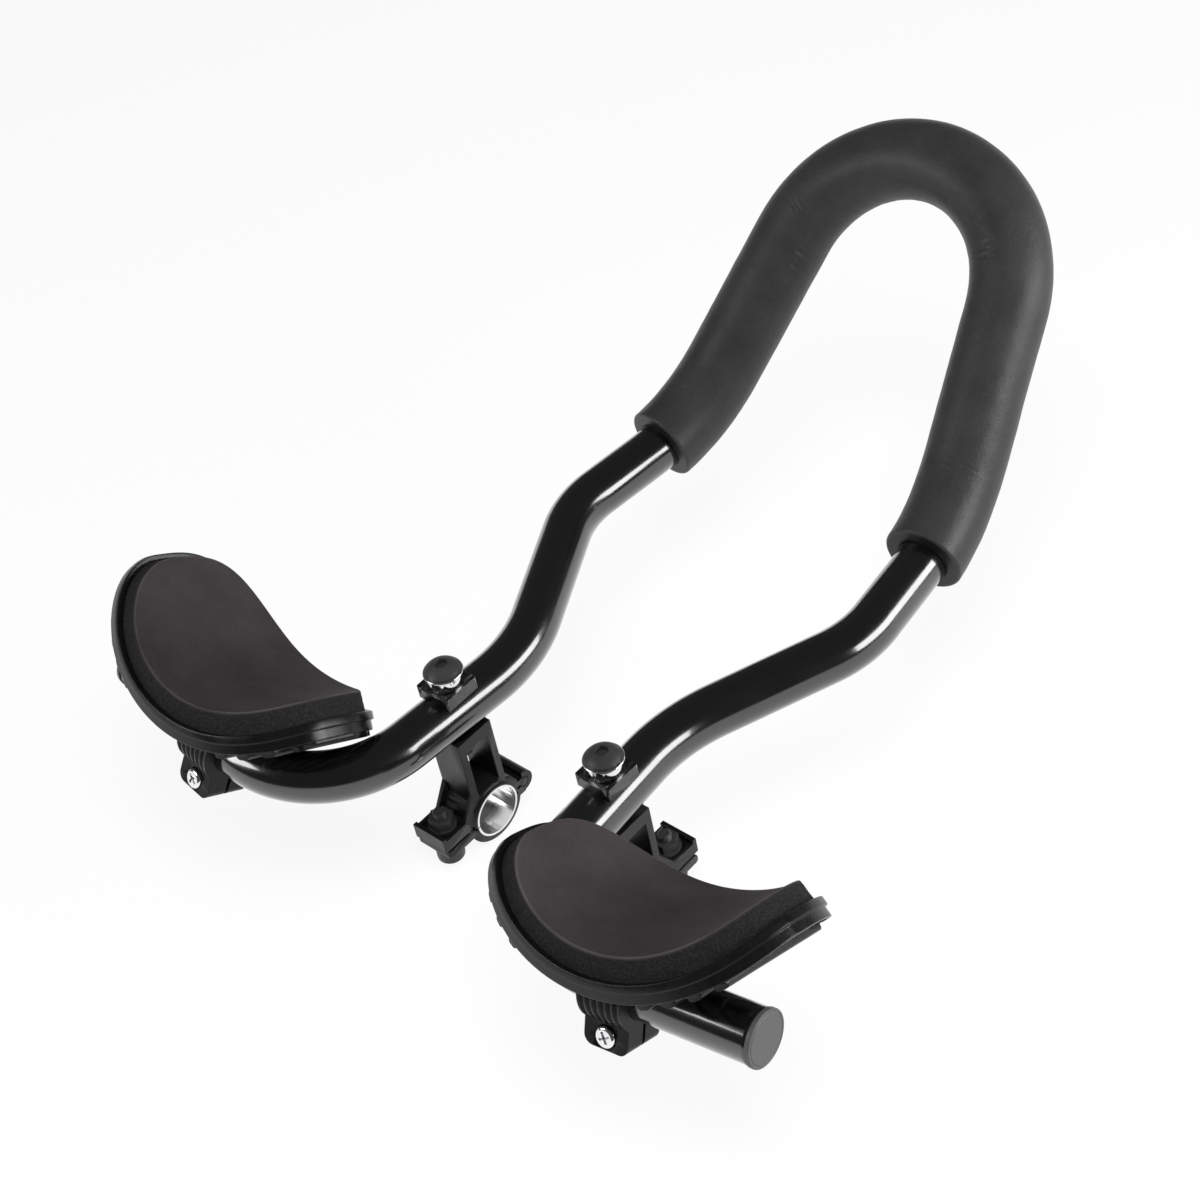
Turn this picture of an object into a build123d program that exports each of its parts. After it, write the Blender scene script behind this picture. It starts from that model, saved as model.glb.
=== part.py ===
from build123d import *
import os
from math import cos, pi, radians, sin, sqrt, tan

# Aero handlebar extension: one bent bar with a foam grip, two risers that clamp on a handlebar,
# and two padded arm rests that clamp on the bar's lateral ends.
# Millimetres. X runs along the handlebar to the right, Y forward, Z up. The origin is on the
# handlebar's axis, half-way between the two risers.

# Handlebar that the risers clamp on
HANDLEBAR_DIAMETER = 22.2

# Extension bar: corners of its right half before rounding, as half-width, reach and rise above the clamped run
BAR_DIAMETER = 22.2
BAR_WALL = 2.0
BAR_RISE = 58.0
FRONT_HALF_WIDTH = 50.3
FRONT_REACH = 295.6
FRONT_RISE = 106.8
KNEE_HALF_WIDTH = 71.1
KNEE_REACH = 189.5
KNEE_RISE = 7.1
SHOULDER_HALF_WIDTH = 79.3
SHOULDER_REACH = 116.7
SHOULDER_RISE = 5.6
WAIST_HALF_WIDTH = 41.7
WAIST_REACH = 40.5
SWEEP_HALF_WIDTH = 50.3
SWEEP_REACH = -76.9
TIP_HALF_WIDTH = 172.8
TIP_REACH = -62.4
TIP_RISE = 10.4
KNEE_RADIUS = 80.8
SHOULDER_RADIUS = 47.7
WAIST_RADIUS = 73.9
SWEEP_RADIUS = 49.0

# Foam grip over the front bend, ending part of the way round each knee
FOAM_DIAMETER = 35.6
FOAM_KNEE_ANGLE = 34.0
FOAM_EDGE_RADIUS = 2.0

# End caps
CAP_FLANGE_OVERHANG = 0.4
CAP_FLANGE_THICKNESS = 2.0
CAP_FLANGE_EDGE = 0.6
CAP_PLUG_LENGTH = 14.0
CAP_PLUG_WALL = 2.0

# Risers: a cast post with a pocket through it, over a clamp with a bolt at one end and a hook at the other
RISER_WIDTH = 18.0
POST_DEPTH = 19.5
POST_WALL = 3.4
POST_CROWN = 6.2
POCKET_CORNER = 1.2
SADDLE_WRAP = 0.7
CLAMP_RING_WALL = 3.5
CLAMP_SPLIT = 1.2
CLAMP_LUG_FLOOR = 4.2
CLAMP_LUG_WALL = 2.0
CLAMP_LUG_WALL_HEIGHT = 3.4
CLAMP_LIP_WALL = 2.0
CLAMP_LIP_HEIGHT = 1.6
CLAMP_SHOULDER_REACH = 7.5
CLAMP_SHOULDER_RISE = 11.5
CLAMP_CORNER = 1.5
COLLAR_WALL = 1.1
COLLAR_LENGTH = 1.4
LOWER_LUG_THICKNESS = 4.4
LOWER_LUG_SETBACK = 1.0
HOOK_STAND = 2.9
HOOK_RISE = 0.8
HOOK_PIN_RADIUS = 2.3
HOOK_WALL = 2.6
HOOK_MOUTH = 0.4
SLEEVE_WALL = 1.0
SLEEVE_SLIT = 0.8

# Clamp bolt: head under the lower clamp, nut and washer in the tray
CLAMP_BOLT_DIAMETER = 6.0
CLAMP_BOLT_HEAD_DIAMETER = 12.4
CLAMP_BOLT_HEAD_HEIGHT = 9.0
CLAMP_BOLT_HEAD_EDGE = 1.4
CLAMP_BOLT_SOCKET = 5.0
CLAMP_BOLT_SOCKET_DEPTH = 3.5
CLAMP_BOLT_TAIL = 3.0
CLAMP_WASHER_DIAMETER = 12.6
CLAMP_WASHER_THICKNESS = 1.8
CLAMP_NUT_FLATS = 10.0
CLAMP_NUT_HEIGHT = 4.6

# Saddle plate, cup washer, bolt and nut that hold the bar down on each riser
PLATE_WIDTH = 17.9
PLATE_LENGTH = 18.0
PLATE_HEIGHT = 6.1
PLATE_WRAP = 0.9
PLATE_DISH = 1.0
PLATE_LIP = 1.5
PLATE_CORNER = 1.0
CUP_BOTTOM_DIAMETER = 14.0
CUP_TOP_DIAMETER = 17.2
CUP_HEIGHT = 7.8
CUP_LIP = 1.3
SADDLE_BOLT_DIAMETER = 6.0
SADDLE_BOLT_HEAD_DIAMETER = 14.8
SADDLE_BOLT_HEAD_RIM = 1.0
SADDLE_BOLT_HEAD_DOME = 3.2
SADDLE_BOLT_SOCKET = 5.0
SADDLE_BOLT_SOCKET_DEPTH = 2.8
SADDLE_BOLT_TAIL = 4.5
SADDLE_NUT_FLATS = 10.0
SADDLE_NUT_HEIGHT = 5.0

# Arm rests: a trough about an axis square to the bar's end run, tipped about that run
ARM_BEND_GAP = 2.0
ARM_RIGHT_TILT_ANGLE = -26.5
ARM_LEFT_TILT_ANGLE = -30.0
TROUGH_RADIUS = 69.7
TROUGH_AXIS_OFFSET = 3.0
TROUGH_CANT_ANGLE = 3.8
PAD_HALF_WIDTH = 58.6
PAD_FRONT = 42.6
PAD_REAR = 32.4
PAD_FRONT_EXPONENT = 3.0
PAD_REAR_EXPONENT = 2.06
PAD_THICKNESS = 10.6
SHELL_THICKNESS = 3.0
SHELL_STAND = 2.7
RIM_GAP = 0.6
RIM_WALL = 2.4
RIM_HEIGHT = 1.2
RIM_DROP = 2.2
SKIRT_WALL = 1.3
SKIRT_DROP = 3.4
RIB_HEIGHT = 5.8
RIB_WIDTH = 5.4
RIB_PITCH = 9.6
RIB_START = 20.0
RIB_COUNT = 4

# Two jaws under each arm rest, pulled together by a cross screw
JAW_WIDTH = 20.0
JAW_WALL = 3.8
JAW_TOP = 4.8
JAW_TONGUE_TOP = 13.0
JAW_BEAD_RADIUS = 1.1
JAW_BEAD_HEIGHT = 10.5
JAW_SPLIT = 1.6
JAW_LUG_DROP = 24.0
JAW_LUG_CORNER = 4.0
JAW_LUG_DEPTH = 9.0
FIN_HEIGHT = 1.3
FIN_THICKNESS = 1.3
FIN_COUNT = 7
JAW_SCREW_DROP = 18.5
JAW_SCREW_DIAMETER = 5.0
JAW_SCREW_HEAD_DIAMETER = 8.8
JAW_SCREW_HEAD_HEIGHT = 3.0
JAW_SCREW_HEAD_EDGE = 1.2
JAW_SCREW_RECESS = 1.6
JAW_SCREW_TAIL = 1.2
CROSS_LENGTH = 5.0
CROSS_WIDTH = 1.2
CROSS_DEPTH = 1.6
JAW_NUT_FLATS = 8.0
JAW_NUT_HEIGHT = 4.0

# Clearances
SEAT_CLEARANCE = 0.1
TURN_CLEARANCE = 0.08
BOLT_CLEARANCE = 0.4
WASHER_CLEARANCE = 0.3
HOOK_CLEARANCE = 0.3
THREAD_CLEARANCE = 0.05
PLUG_CLEARANCE = 0.1

OUTLINE_POINTS = 24

bar_r = BAR_DIAMETER / 2
bar_bore_r = bar_r - BAR_WALL
right, left = 1, -1
side_names = {right: "right", left: "left"}

# The clamp's bolt is in front on the right riser and behind on the left one.
bolt_ends = {right: 1, left: -1}


def half_point(half_width, reach, rise):
    """A corner of the bar's right half."""
    return Vector(half_width, reach, BAR_RISE + rise)


front = half_point(FRONT_HALF_WIDTH, FRONT_REACH, FRONT_RISE)
knee = half_point(KNEE_HALF_WIDTH, KNEE_REACH, KNEE_RISE)
shoulder = half_point(SHOULDER_HALF_WIDTH, SHOULDER_REACH, SHOULDER_RISE)
waist = half_point(WAIST_HALF_WIDTH, WAIST_REACH, 0)
sweep_corner = half_point(SWEEP_HALF_WIDTH, SWEEP_REACH, 0)
tip = half_point(TIP_HALF_WIDTH, TIP_REACH, TIP_RISE)
front_middle = Vector(0, front.Y, front.Z)
clamped_run = (sweep_corner - waist).normalized()
end_run = (tip - sweep_corner).normalized()

# The risers stand where the bar's clamped run passes over the handlebar's axis.
riser_x = waist.X + clamped_run.X * (0 - waist.Y) / clamped_run.Y


class Bend:
    """The arc that rounds one corner of the bar."""

    def __init__(self, before, corner, after, radius):
        back = (before - corner).normalized()
        onward = (after - corner).normalized()
        self.turn = 180 - back.get_angle(onward)
        reach = radius * tan(radians(self.turn / 2))
        self.start = corner + back * reach
        self.end = corner + onward * reach
        self.centre = corner + (back + onward).normalized() * (radius / cos(radians(self.turn / 2)))
        self.radius = radius
        self.heading = back * -1

    def at(self, angle):
        """Point reached after turning by the angle from the start."""
        out = (self.start - self.centre) * cos(radians(angle))
        return self.centre + out + self.heading * (self.radius * sin(radians(angle)))

    def arc(self, angle):
        """The arc from the start round by the angle."""
        return ThreePointArc(self.start, self.at(angle / 2), self.at(angle))


def mirrored(point):
    return Vector(-point.X, point.Y, point.Z)


leg = (knee - front).normalized()
front_start = front + leg * FRONT_HALF_WIDTH
front_arc = ThreePointArc(front_start, front_middle, mirrored(front_start))
knee_bend = Bend(front, knee, shoulder, KNEE_RADIUS)
shoulder_bend = Bend(knee, shoulder, waist, SHOULDER_RADIUS)
waist_bend = Bend(shoulder, waist, sweep_corner, WAIST_RADIUS)
sweep_bend = Bend(waist, sweep_corner, tip, SWEEP_RADIUS)


def whole_path(half):
    """The right half's edges, the front arc and the left half's edges as one wire."""
    return Wire([*half, front_arc, *[mirror(edge, about=Plane.YZ).edge() for edge in half]])


def bar_path():
    half = [Line(front_start, knee_bend.start)]
    bends = [knee_bend, shoulder_bend, waist_bend, sweep_bend]
    stops = [*[bend.start for bend in bends[1:]], tip]
    for bend, stop in zip(bends, stops):
        half += [bend.arc(bend.turn), Line(bend.end, stop)]
    return whole_path(half)


def foam_path():
    return whole_path([Line(front_start, knee_bend.start), knee_bend.arc(FOAM_KNEE_ANGLE)])


def tube(path, outer, inner):
    start = Plane(origin=path @ 0, z_dir=path % 0)
    return sweep(start * (Circle(outer) - Circle(inner)), path=path)


def clamped_rod(side, radius):
    """A rod on the axis of the bar's clamped run, for grooves that seat the bar."""
    run = Vector(side * clamped_run.X, clamped_run.Y, 0)
    length = 2 * (POST_DEPTH + PLATE_LENGTH)
    return Plane(origin=(side * riser_x, 0, BAR_RISE), z_dir=run) * Cylinder(radius, length)


def upright(side, y, radius, z0, z1):
    """A vertical cylinder on a riser's mid-plane."""
    return Pos(side * riser_x, y, (z0 + z1) / 2) * Cylinder(radius, z1 - z0)


def upright_hex(side, y, flats, z0, z1):
    section = Plane((side * riser_x, y, z0)) * RegularPolygon(flats / 2, 6, major_radius=False)
    return extrude(section, z1 - z0)


def yz_slab(sketch, x0, x1):
    """A sketch drawn in Y and Z, made solid from x0 to x1."""
    return extrude(Plane.YZ.offset(x0) * sketch, x1 - x0)


def yz_box(y0, y1, z0, z1):
    return Pos((y0 + y1) / 2, (z0 + z1) / 2) * Rectangle(y1 - y0, z1 - z0)


# Heights up a riser
bar_bottom = BAR_RISE - bar_r
bar_top = BAR_RISE + bar_r
post_top = bar_bottom + SADDLE_WRAP
pocket_top = post_top - POST_CROWN
plate_bottom = bar_top - PLATE_WRAP
plate_top = plate_bottom + PLATE_HEIGHT
dish_floor = plate_top - PLATE_DISH
cup_top = dish_floor + CUP_HEIGHT
nut_bottom = pocket_top - SADDLE_NUT_HEIGHT
saddle_bolt_r = SADDLE_BOLT_DIAMETER / 2

# Radii and heights of the handlebar clamp
grip_r = HANDLEBAR_DIAMETER / 2
sleeve_r = grip_r + SLEEVE_WALL
seat_r = sleeve_r + THREAD_CLEARANCE
collar_r = seat_r + COLLAR_WALL
ring_r = seat_r + CLAMP_RING_WALL
split_z = CLAMP_SPLIT / 2
lug_floor = split_z + CLAMP_LUG_FLOOR
lug_wall_top = lug_floor + CLAMP_LUG_WALL_HEIGHT
lower_bottom = -split_z - LOWER_LUG_THICKNESS
nut_seat = lug_floor + CLAMP_WASHER_THICKNESS
clamp_bolt_r = CLAMP_BOLT_DIAMETER / 2
clamp_bolt_y = ring_r + WASHER_CLEARANCE + CLAMP_WASHER_DIAMETER / 2
lug_pocket_y = clamp_bolt_y + CLAMP_WASHER_DIAMETER / 2 + WASHER_CLEARANCE
lug_y = lug_pocket_y + CLAMP_LUG_WALL
lip_top = lug_floor + CLAMP_LIP_HEIGHT
hook_y = ring_r + HOOK_STAND
hook_bore_r = HOOK_PIN_RADIUS + HOOK_CLEARANCE
riser_half = RISER_WIDTH / 2


def extension_bar():
    bar = tube(bar_path(), bar_r, bar_bore_r)
    for side in (right, left):
        bar -= upright(side, 0, saddle_bolt_r + BOLT_CLEARANCE, bar_bottom - bar_r, bar_top + bar_r)
    return bar


def foam_grip():
    foam = tube(foam_path(), FOAM_DIAMETER / 2, bar_r + THREAD_CLEARANCE)
    ends = foam.edges().filter_by(GeomType.CIRCLE)
    return fillet([edge for edge in ends if abs(edge.radius - FOAM_DIAMETER / 2) < 1e-4], FOAM_EDGE_RADIUS)


def end_cap():
    """A hollow plug in the right tip of the bar, with a thin flange."""
    flange = Pos(0, 0, CAP_FLANGE_THICKNESS / 2) * Cylinder(bar_r + CAP_FLANGE_OVERHANG, CAP_FLANGE_THICKNESS)
    flange = fillet(flange.edges().sort_by(Axis.Z)[-1:], CAP_FLANGE_EDGE)
    plug_r = bar_bore_r - PLUG_CLEARANCE
    plug = Pos(0, 0, -CAP_PLUG_LENGTH / 2) * Cylinder(plug_r, CAP_PLUG_LENGTH)
    hollow = Pos(0, 0, -CAP_PLUG_LENGTH / 2) * Cylinder(plug_r - CAP_PLUG_WALL, CAP_PLUG_LENGTH)
    return Plane(origin=tip, z_dir=end_run) * (flange + plug - hollow)


def clamp_bore(side, half):
    """Bore for the sleeve, through one half of the clamp and its collars."""
    return Pos(side * riser_x, 0, 0) * Rot(0, 90, 0) * Cylinder(seat_r, 2 * (half + COLLAR_LENGTH))


def collars(side):
    """Raised rings around the bore on both faces."""
    ring = Pos(side * riser_x, 0, 0) * Rot(0, 90, 0) * Cylinder(collar_r, RISER_WIDTH + 2 * COLLAR_LENGTH)
    return ring


def half_space(side, z0, z1):
    """A block that keeps what lies between two heights around one riser."""
    reach = 2 * (lug_y + riser_half)
    return Pos(side * riser_x, 0, (z0 + z1) / 2) * Box(reach, reach, z1 - z0)


def riser_bracket(side):
    """Post, upper clamp half, bolt tray and hinge pin as one casting."""
    x0, x1 = side * riser_x - riser_half, side * riser_x + riser_half
    end = bolt_ends[side]
    half = POST_DEPTH / 2
    pocket_height = pocket_top - split_z
    pocket = Pos(0, pocket_top - pocket_height / 2) * RectangleRounded(
        POST_DEPTH - 2 * POST_WALL, pocket_height, POCKET_CORNER
    )
    walls = yz_box(-half, half, split_z, post_top) - pocket + Circle(ring_r)
    walls += yz_box(*sorted((0, end * lug_y)), split_z, lug_floor)
    walls += yz_box(*sorted((end * lug_pocket_y, end * lug_y)), split_z, lug_wall_top)
    corners = [
        (end * (half - POST_WALL / 2), split_z),
        (end * lug_y, split_z),
        (end * lug_y, lip_top),
        (end * (half + CLAMP_SHOULDER_REACH), lip_top),
        (end * half, lip_top + CLAMP_SHOULDER_RISE),
        (end * (half - POST_WALL / 2), lip_top + CLAMP_SHOULDER_RISE),
    ]
    lip = Polygon(*corners[::end], align=None)
    casting = yz_slab(walls, x0, x1) + yz_slab(lip, x0, x0 + CLAMP_LIP_WALL) + yz_slab(lip, x1 - CLAMP_LIP_WALL, x1)
    casting += collars(side)
    casting &= half_space(side, split_z, bar_top)
    pin_top = HOOK_RISE + HOOK_PIN_RADIUS
    tongue = yz_box(*sorted((-end * ring_r * cos(pi / 6), -end * hook_y)), split_z, pin_top)
    casting += yz_slab(tongue + Pos(-end * hook_y, HOOK_RISE) * Circle(HOOK_PIN_RADIUS), x0, x1)
    casting -= clamp_bore(side, riser_half)
    casting -= clamped_rod(side, bar_r + SEAT_CLEARANCE)
    casting -= upright(side, 0, saddle_bolt_r + BOLT_CLEARANCE, pocket_top - POST_CROWN, bar_top)
    hole = clamp_bolt_r + BOLT_CLEARANCE
    return casting - upright(side, end * clamp_bolt_y, hole, 0, lug_floor + CLAMP_LUG_FLOOR)


def lower_clamp(side):
    """Lower clamp half, with a lug for the bolt at one end and a hook round the pin at the other."""
    x0, x1 = side * riser_x - riser_half, side * riser_x + riser_half
    end = bolt_ends[side]
    reach = lug_y - LOWER_LUG_SETBACK
    lug = Pos(end * reach / 2, (lower_bottom - split_z) / 2) * RectangleRounded(
        reach, LOWER_LUG_THICKNESS, CLAMP_CORNER
    )
    arm = yz_box(*sorted((0, -end * hook_y)), lower_bottom, 0)
    clamp = yz_slab(lug + arm + Circle(ring_r), x0, x1) + collars(side)
    clamp &= half_space(side, -2 * ring_r, -split_z)
    roll = Pos(-end * hook_y, HOOK_RISE) * Circle(hook_bore_r + HOOK_WALL)
    mouth = yz_box(*sorted((0, -end * (hook_y - HOOK_MOUTH))), -split_z, HOOK_RISE + 2 * hook_bore_r + HOOK_WALL)
    clamp += yz_slab(roll - mouth, x0, x1)
    clamp -= yz_slab(Pos(-end * hook_y, HOOK_RISE) * Circle(hook_bore_r), x0, x1)
    clamp -= clamp_bore(side, riser_half)
    return clamp - upright(side, end * clamp_bolt_y, clamp_bolt_r + BOLT_CLEARANCE, 2 * lower_bottom, 0)


def bore_sleeve(side):
    """Thin liner around the handlebar, slit at the rear so that it closes up."""
    length = RISER_WIDTH + 2 * COLLAR_LENGTH
    ring = Cylinder(sleeve_r, length) - Cylinder(grip_r, length)
    slit = Pos(0, -sleeve_r, 0) * Box(length, 2 * SLEEVE_WALL + sleeve_r - grip_r, SLEEVE_SLIT)
    return Pos(side * riser_x, 0, 0) * (Rot(0, 90, 0) * ring - slit)


def clamp_bolt(side):
    """Socket-head bolt, up through the lower clamp and the tray."""
    y = bolt_ends[side] * clamp_bolt_y
    bottom = lower_bottom - CLAMP_BOLT_HEAD_HEIGHT
    head = upright(side, y, CLAMP_BOLT_HEAD_DIAMETER / 2, bottom, lower_bottom)
    head = fillet(head.edges().sort_by(Axis.Z)[:1], CLAMP_BOLT_HEAD_EDGE)
    head -= upright_hex(side, y, CLAMP_BOLT_SOCKET, bottom, bottom + CLAMP_BOLT_SOCKET_DEPTH)
    return head + upright(side, y, clamp_bolt_r, lower_bottom, nut_seat + CLAMP_NUT_HEIGHT + CLAMP_BOLT_TAIL)


def clamp_washer(side):
    y = bolt_ends[side] * clamp_bolt_y
    disc = upright(side, y, CLAMP_WASHER_DIAMETER / 2, lug_floor, nut_seat)
    return disc - upright(side, y, clamp_bolt_r + THREAD_CLEARANCE, lug_floor, nut_seat)


def clamp_nut(side):
    y = bolt_ends[side] * clamp_bolt_y
    body = upright_hex(side, y, CLAMP_NUT_FLATS, nut_seat, nut_seat + CLAMP_NUT_HEIGHT)
    return body - upright(side, y, clamp_bolt_r + THREAD_CLEARANCE, nut_seat, nut_seat + CLAMP_NUT_HEIGHT)


def cup(hole, grow):
    """Cone of the cup washer about its own axis, grown outwards for the seat that takes it."""
    bottom, top = CUP_BOTTOM_DIAMETER / 2 + grow, CUP_TOP_DIAMETER / 2 + grow
    section = Polygon(
        (hole, 0), (bottom, 0), (top, CUP_HEIGHT - CUP_LIP), (top, CUP_HEIGHT), (hole, CUP_HEIGHT), align=None
    )
    return revolve(Plane.XZ * section, Axis.Z)


def saddle_plate(side):
    """Plate on top of the bar, dished between two lips, with a flat seat for the cup washer."""
    plate = Pos(side * riser_x, 0, (plate_bottom + plate_top) / 2) * Box(PLATE_WIDTH, PLATE_LENGTH, PLATE_HEIGHT)
    plate = fillet(plate.edges().filter_by(Axis.Z), PLATE_CORNER)
    chord = PLATE_WIDTH - 2 * PLATE_LIP
    dish_r = (chord**2 / 4 + PLATE_DISH**2) / (2 * PLATE_DISH)
    plate -= Pos(side * riser_x, 0, dish_floor + dish_r) * Rot(90, 0, 0) * Cylinder(dish_r, 2 * PLATE_LENGTH)
    plate -= Pos(side * riser_x, 0, dish_floor) * cup(0, SEAT_CLEARANCE)
    plate -= clamped_rod(side, bar_r + SEAT_CLEARANCE)
    return plate - upright(side, 0, saddle_bolt_r + BOLT_CLEARANCE, plate_bottom - PLATE_HEIGHT, plate_top)


def saddle_washer(side):
    """Cup washer that widens upwards to a lip under the bolt's head."""
    return Pos(side * riser_x, 0, dish_floor) * cup(saddle_bolt_r + THREAD_CLEARANCE, 0)


def saddle_bolt(side):
    """Domed bolt with a hex socket, through the plate, the bar and the riser's crown."""
    head_r = SADDLE_BOLT_HEAD_DIAMETER / 2
    dome_r = (head_r**2 + SADDLE_BOLT_HEAD_DOME**2) / (2 * SADDLE_BOLT_HEAD_DOME)
    rim_top = cup_top + SADDLE_BOLT_HEAD_RIM
    ball = Pos(side * riser_x, 0, rim_top + SADDLE_BOLT_HEAD_DOME - dome_r) * Sphere(dome_r)
    crown_top = rim_top + SADDLE_BOLT_HEAD_DOME
    head = upright(side, 0, head_r, cup_top, crown_top) & ball
    head -= upright_hex(side, 0, SADDLE_BOLT_SOCKET, crown_top - SADDLE_BOLT_SOCKET_DEPTH, crown_top)
    return head + upright(side, 0, saddle_bolt_r, nut_bottom - SADDLE_BOLT_TAIL, cup_top)


def saddle_nut(side):
    nut = upright_hex(side, 0, SADDLE_NUT_FLATS, nut_bottom, pocket_top)
    return nut - upright(side, 0, saddle_bolt_r + THREAD_CLEARANCE, nut_bottom, pocket_top)


# Arm rest, in the axes of the bar's end run: X along the run, Z up, origin on the run
jaw_bore_r = bar_r + TURN_CLEARANCE
jaw_outer_r = jaw_bore_r + JAW_WALL
pedestal_half = jaw_outer_r - JAW_WALL
foam_foot_r = TROUGH_RADIUS + PAD_THICKNESS
shell_r = foam_foot_r + SHELL_THICKNESS
skirt_r = shell_r + SKIRT_DROP
rim_r = foam_foot_r - RIM_HEIGHT
rim_foot_r = foam_foot_r + RIM_DROP
trough_axis_z = bar_r + SHELL_STAND + shell_r
pad_half_angle = PAD_HALF_WIDTH / TROUGH_RADIUS


def in_trough(shape):
    """From the trough's own axes, with Y along its axis and Z up, to the arm rest's."""
    return Pos(TROUGH_AXIS_OFFSET, 0, trough_axis_z) * Rot(0, -TROUGH_CANT_ANGLE, 0) * shape


def outline_wire(depth, grow):
    """The pad's outline on the plane that lies the depth under the trough's axis, seen from that axis.

    The spline is timed by distances round the flattened outline, so wires on different planes keep in step.
    """
    points = []
    flat = []
    for k in range(OUTLINE_POINTS):
        t = 2 * pi * k / OUTLINE_POINTS
        power = 2 / (PAD_FRONT_EXPONENT if sin(t) > 0 else PAD_REAR_EXPONENT)
        across = abs(cos(t)) ** power * (1 if cos(t) > 0 else -1)
        along = abs(sin(t)) ** power * (1 if sin(t) > 0 else -1)
        angle = (pad_half_angle + grow / foam_foot_r) * across
        length = ((PAD_FRONT if along > 0 else PAD_REAR) + grow) * along
        points.append((depth * tan(angle), length, -depth))
        flat.append(Vector(angle * foam_foot_r, length))
    times = [0.0]
    for here, onward in zip(flat, flat[1:] + flat[:1]):
        times.append(times[-1] + (onward - here).length)
    return Wire([Edge.make_spline(points, periodic=True, parameters=times)])


def outline_prism(grow):
    """Everything under the trough's axis inside the outline, with sides that point at the axis."""
    near = TROUGH_RADIUS * cos(pad_half_angle + grow / foam_foot_r) / 2
    far = 2 * skirt_r
    return loft([Face(outline_wire(near, grow)), Face(outline_wire(far, grow))], ruled=True)


def trough_ring(inner, outer):
    """A tube about the trough's axis."""
    length = 4 * (PAD_FRONT + PAD_REAR)
    return Rot(90, 0, 0) * (Cylinder(outer, length) - Cylinder(inner, length))


def arm_pad():
    return in_trough(outline_prism(0) & trough_ring(TROUGH_RADIUS, foam_foot_r))


def pedestal():
    """Block under the shell that sits on the bar, with a groove on each flank for the jaws."""
    block = yz_slab(yz_box(-pedestal_half, pedestal_half, JAW_TOP, JAW_TOP + TROUGH_RADIUS), -JAW_WIDTH / 2, JAW_WIDTH / 2)
    trough_void = Pos(TROUGH_AXIS_OFFSET, 0, trough_axis_z) * Rot(90, 0, 0) * Cylinder(
        foam_foot_r + SHELL_THICKNESS / 2, 4 * TROUGH_RADIUS
    )
    block -= trough_void
    block -= Rot(0, 90, 0) * Cylinder(jaw_bore_r, 2 * JAW_WIDTH)
    for end in (1, -1):
        groove = Pos(0, end * pedestal_half, JAW_BEAD_HEIGHT) * Rot(0, 90, 0)
        block -= groove * Cylinder(JAW_BEAD_RADIUS + SEAT_CLEARANCE, 2 * JAW_WIDTH)
    return block


def shell_ribs():
    """Rounded ribs along the underside of the shell, on both sides of the jaws."""
    root_r = foam_foot_r + SHELL_THICKNESS / 2
    rib_height = shell_r + RIB_HEIGHT - root_r
    section = Pos(0, -root_r - rib_height / 2) * RectangleRounded(RIB_WIDTH, rib_height, RIB_WIDTH / 3)
    rib = extrude(Plane.XZ * section, PAD_FRONT + PAD_REAR, both=True)
    ribs = []
    for end in (1, -1):
        first = end * (JAW_WIDTH / 2 + RIB_START) - TROUGH_AXIS_OFFSET
        for k in range(RIB_COUNT):
            turn = (first + end * k * RIB_PITCH) / shell_r * 180 / pi
            ribs.append(Rot(0, TROUGH_CANT_ANGLE - turn, 0) * rib)
    return ribs


def arm_cradle():
    """Trough shell with a rim, an inset skirt, ribs and the pedestal, moulded as one piece."""
    inside = outline_prism(RIM_GAP)
    wall = outline_prism(RIM_GAP + RIM_WALL) & trough_ring(rim_r, rim_foot_r)
    wall += outline_prism(RIM_GAP + SKIRT_WALL) & trough_ring(rim_foot_r, skirt_r)
    floor = inside & (trough_ring(foam_foot_r, shell_r) + shell_ribs())
    return in_trough(wall - inside + floor) + pedestal()


def jaw_profile(end):
    """Side view of one jaw: half a ring round the bar, a tongue up its flank and a lug below."""
    half = JAW_SPLIT / 2
    ring = Circle(jaw_outer_r)
    near = yz_box(*sorted((end * half, end * jaw_outer_r)), -jaw_outer_r, JAW_TOP)
    tongue = yz_box(*sorted((end * (pedestal_half + SEAT_CLEARANCE), end * jaw_outer_r)), 0, JAW_TONGUE_TOP)
    lug = yz_box(*sorted((end * half, end * (half + JAW_LUG_DEPTH))), -JAW_LUG_DROP, 0)
    bead = Pos(end * pedestal_half, JAW_BEAD_HEIGHT) * Circle(JAW_BEAD_RADIUS)
    return (ring & near) + tongue + lug + bead - Circle(jaw_bore_r)


def jaw(end):
    body = yz_slab(jaw_profile(end), -JAW_WIDTH / 2, JAW_WIDTH / 2)
    height = 2 * (JAW_TONGUE_TOP + JAW_LUG_DROP)
    front_view = Pos(0, height / 2 - JAW_LUG_DROP) * RectangleRounded(JAW_WIDTH, height, JAW_LUG_CORNER)
    body &= extrude(Plane.XZ * front_view, 2 * jaw_outer_r, both=True)
    hole = Pos(0, 0, -JAW_SCREW_DROP) * Rot(90, 0, 0)
    return body - hole * Cylinder((JAW_SCREW_DIAMETER + BOLT_CLEARANCE) / 2, 4 * jaw_outer_r)


lug_face = JAW_SPLIT / 2 + JAW_LUG_DEPTH
screw_seat = lug_face - JAW_SCREW_RECESS


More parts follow.
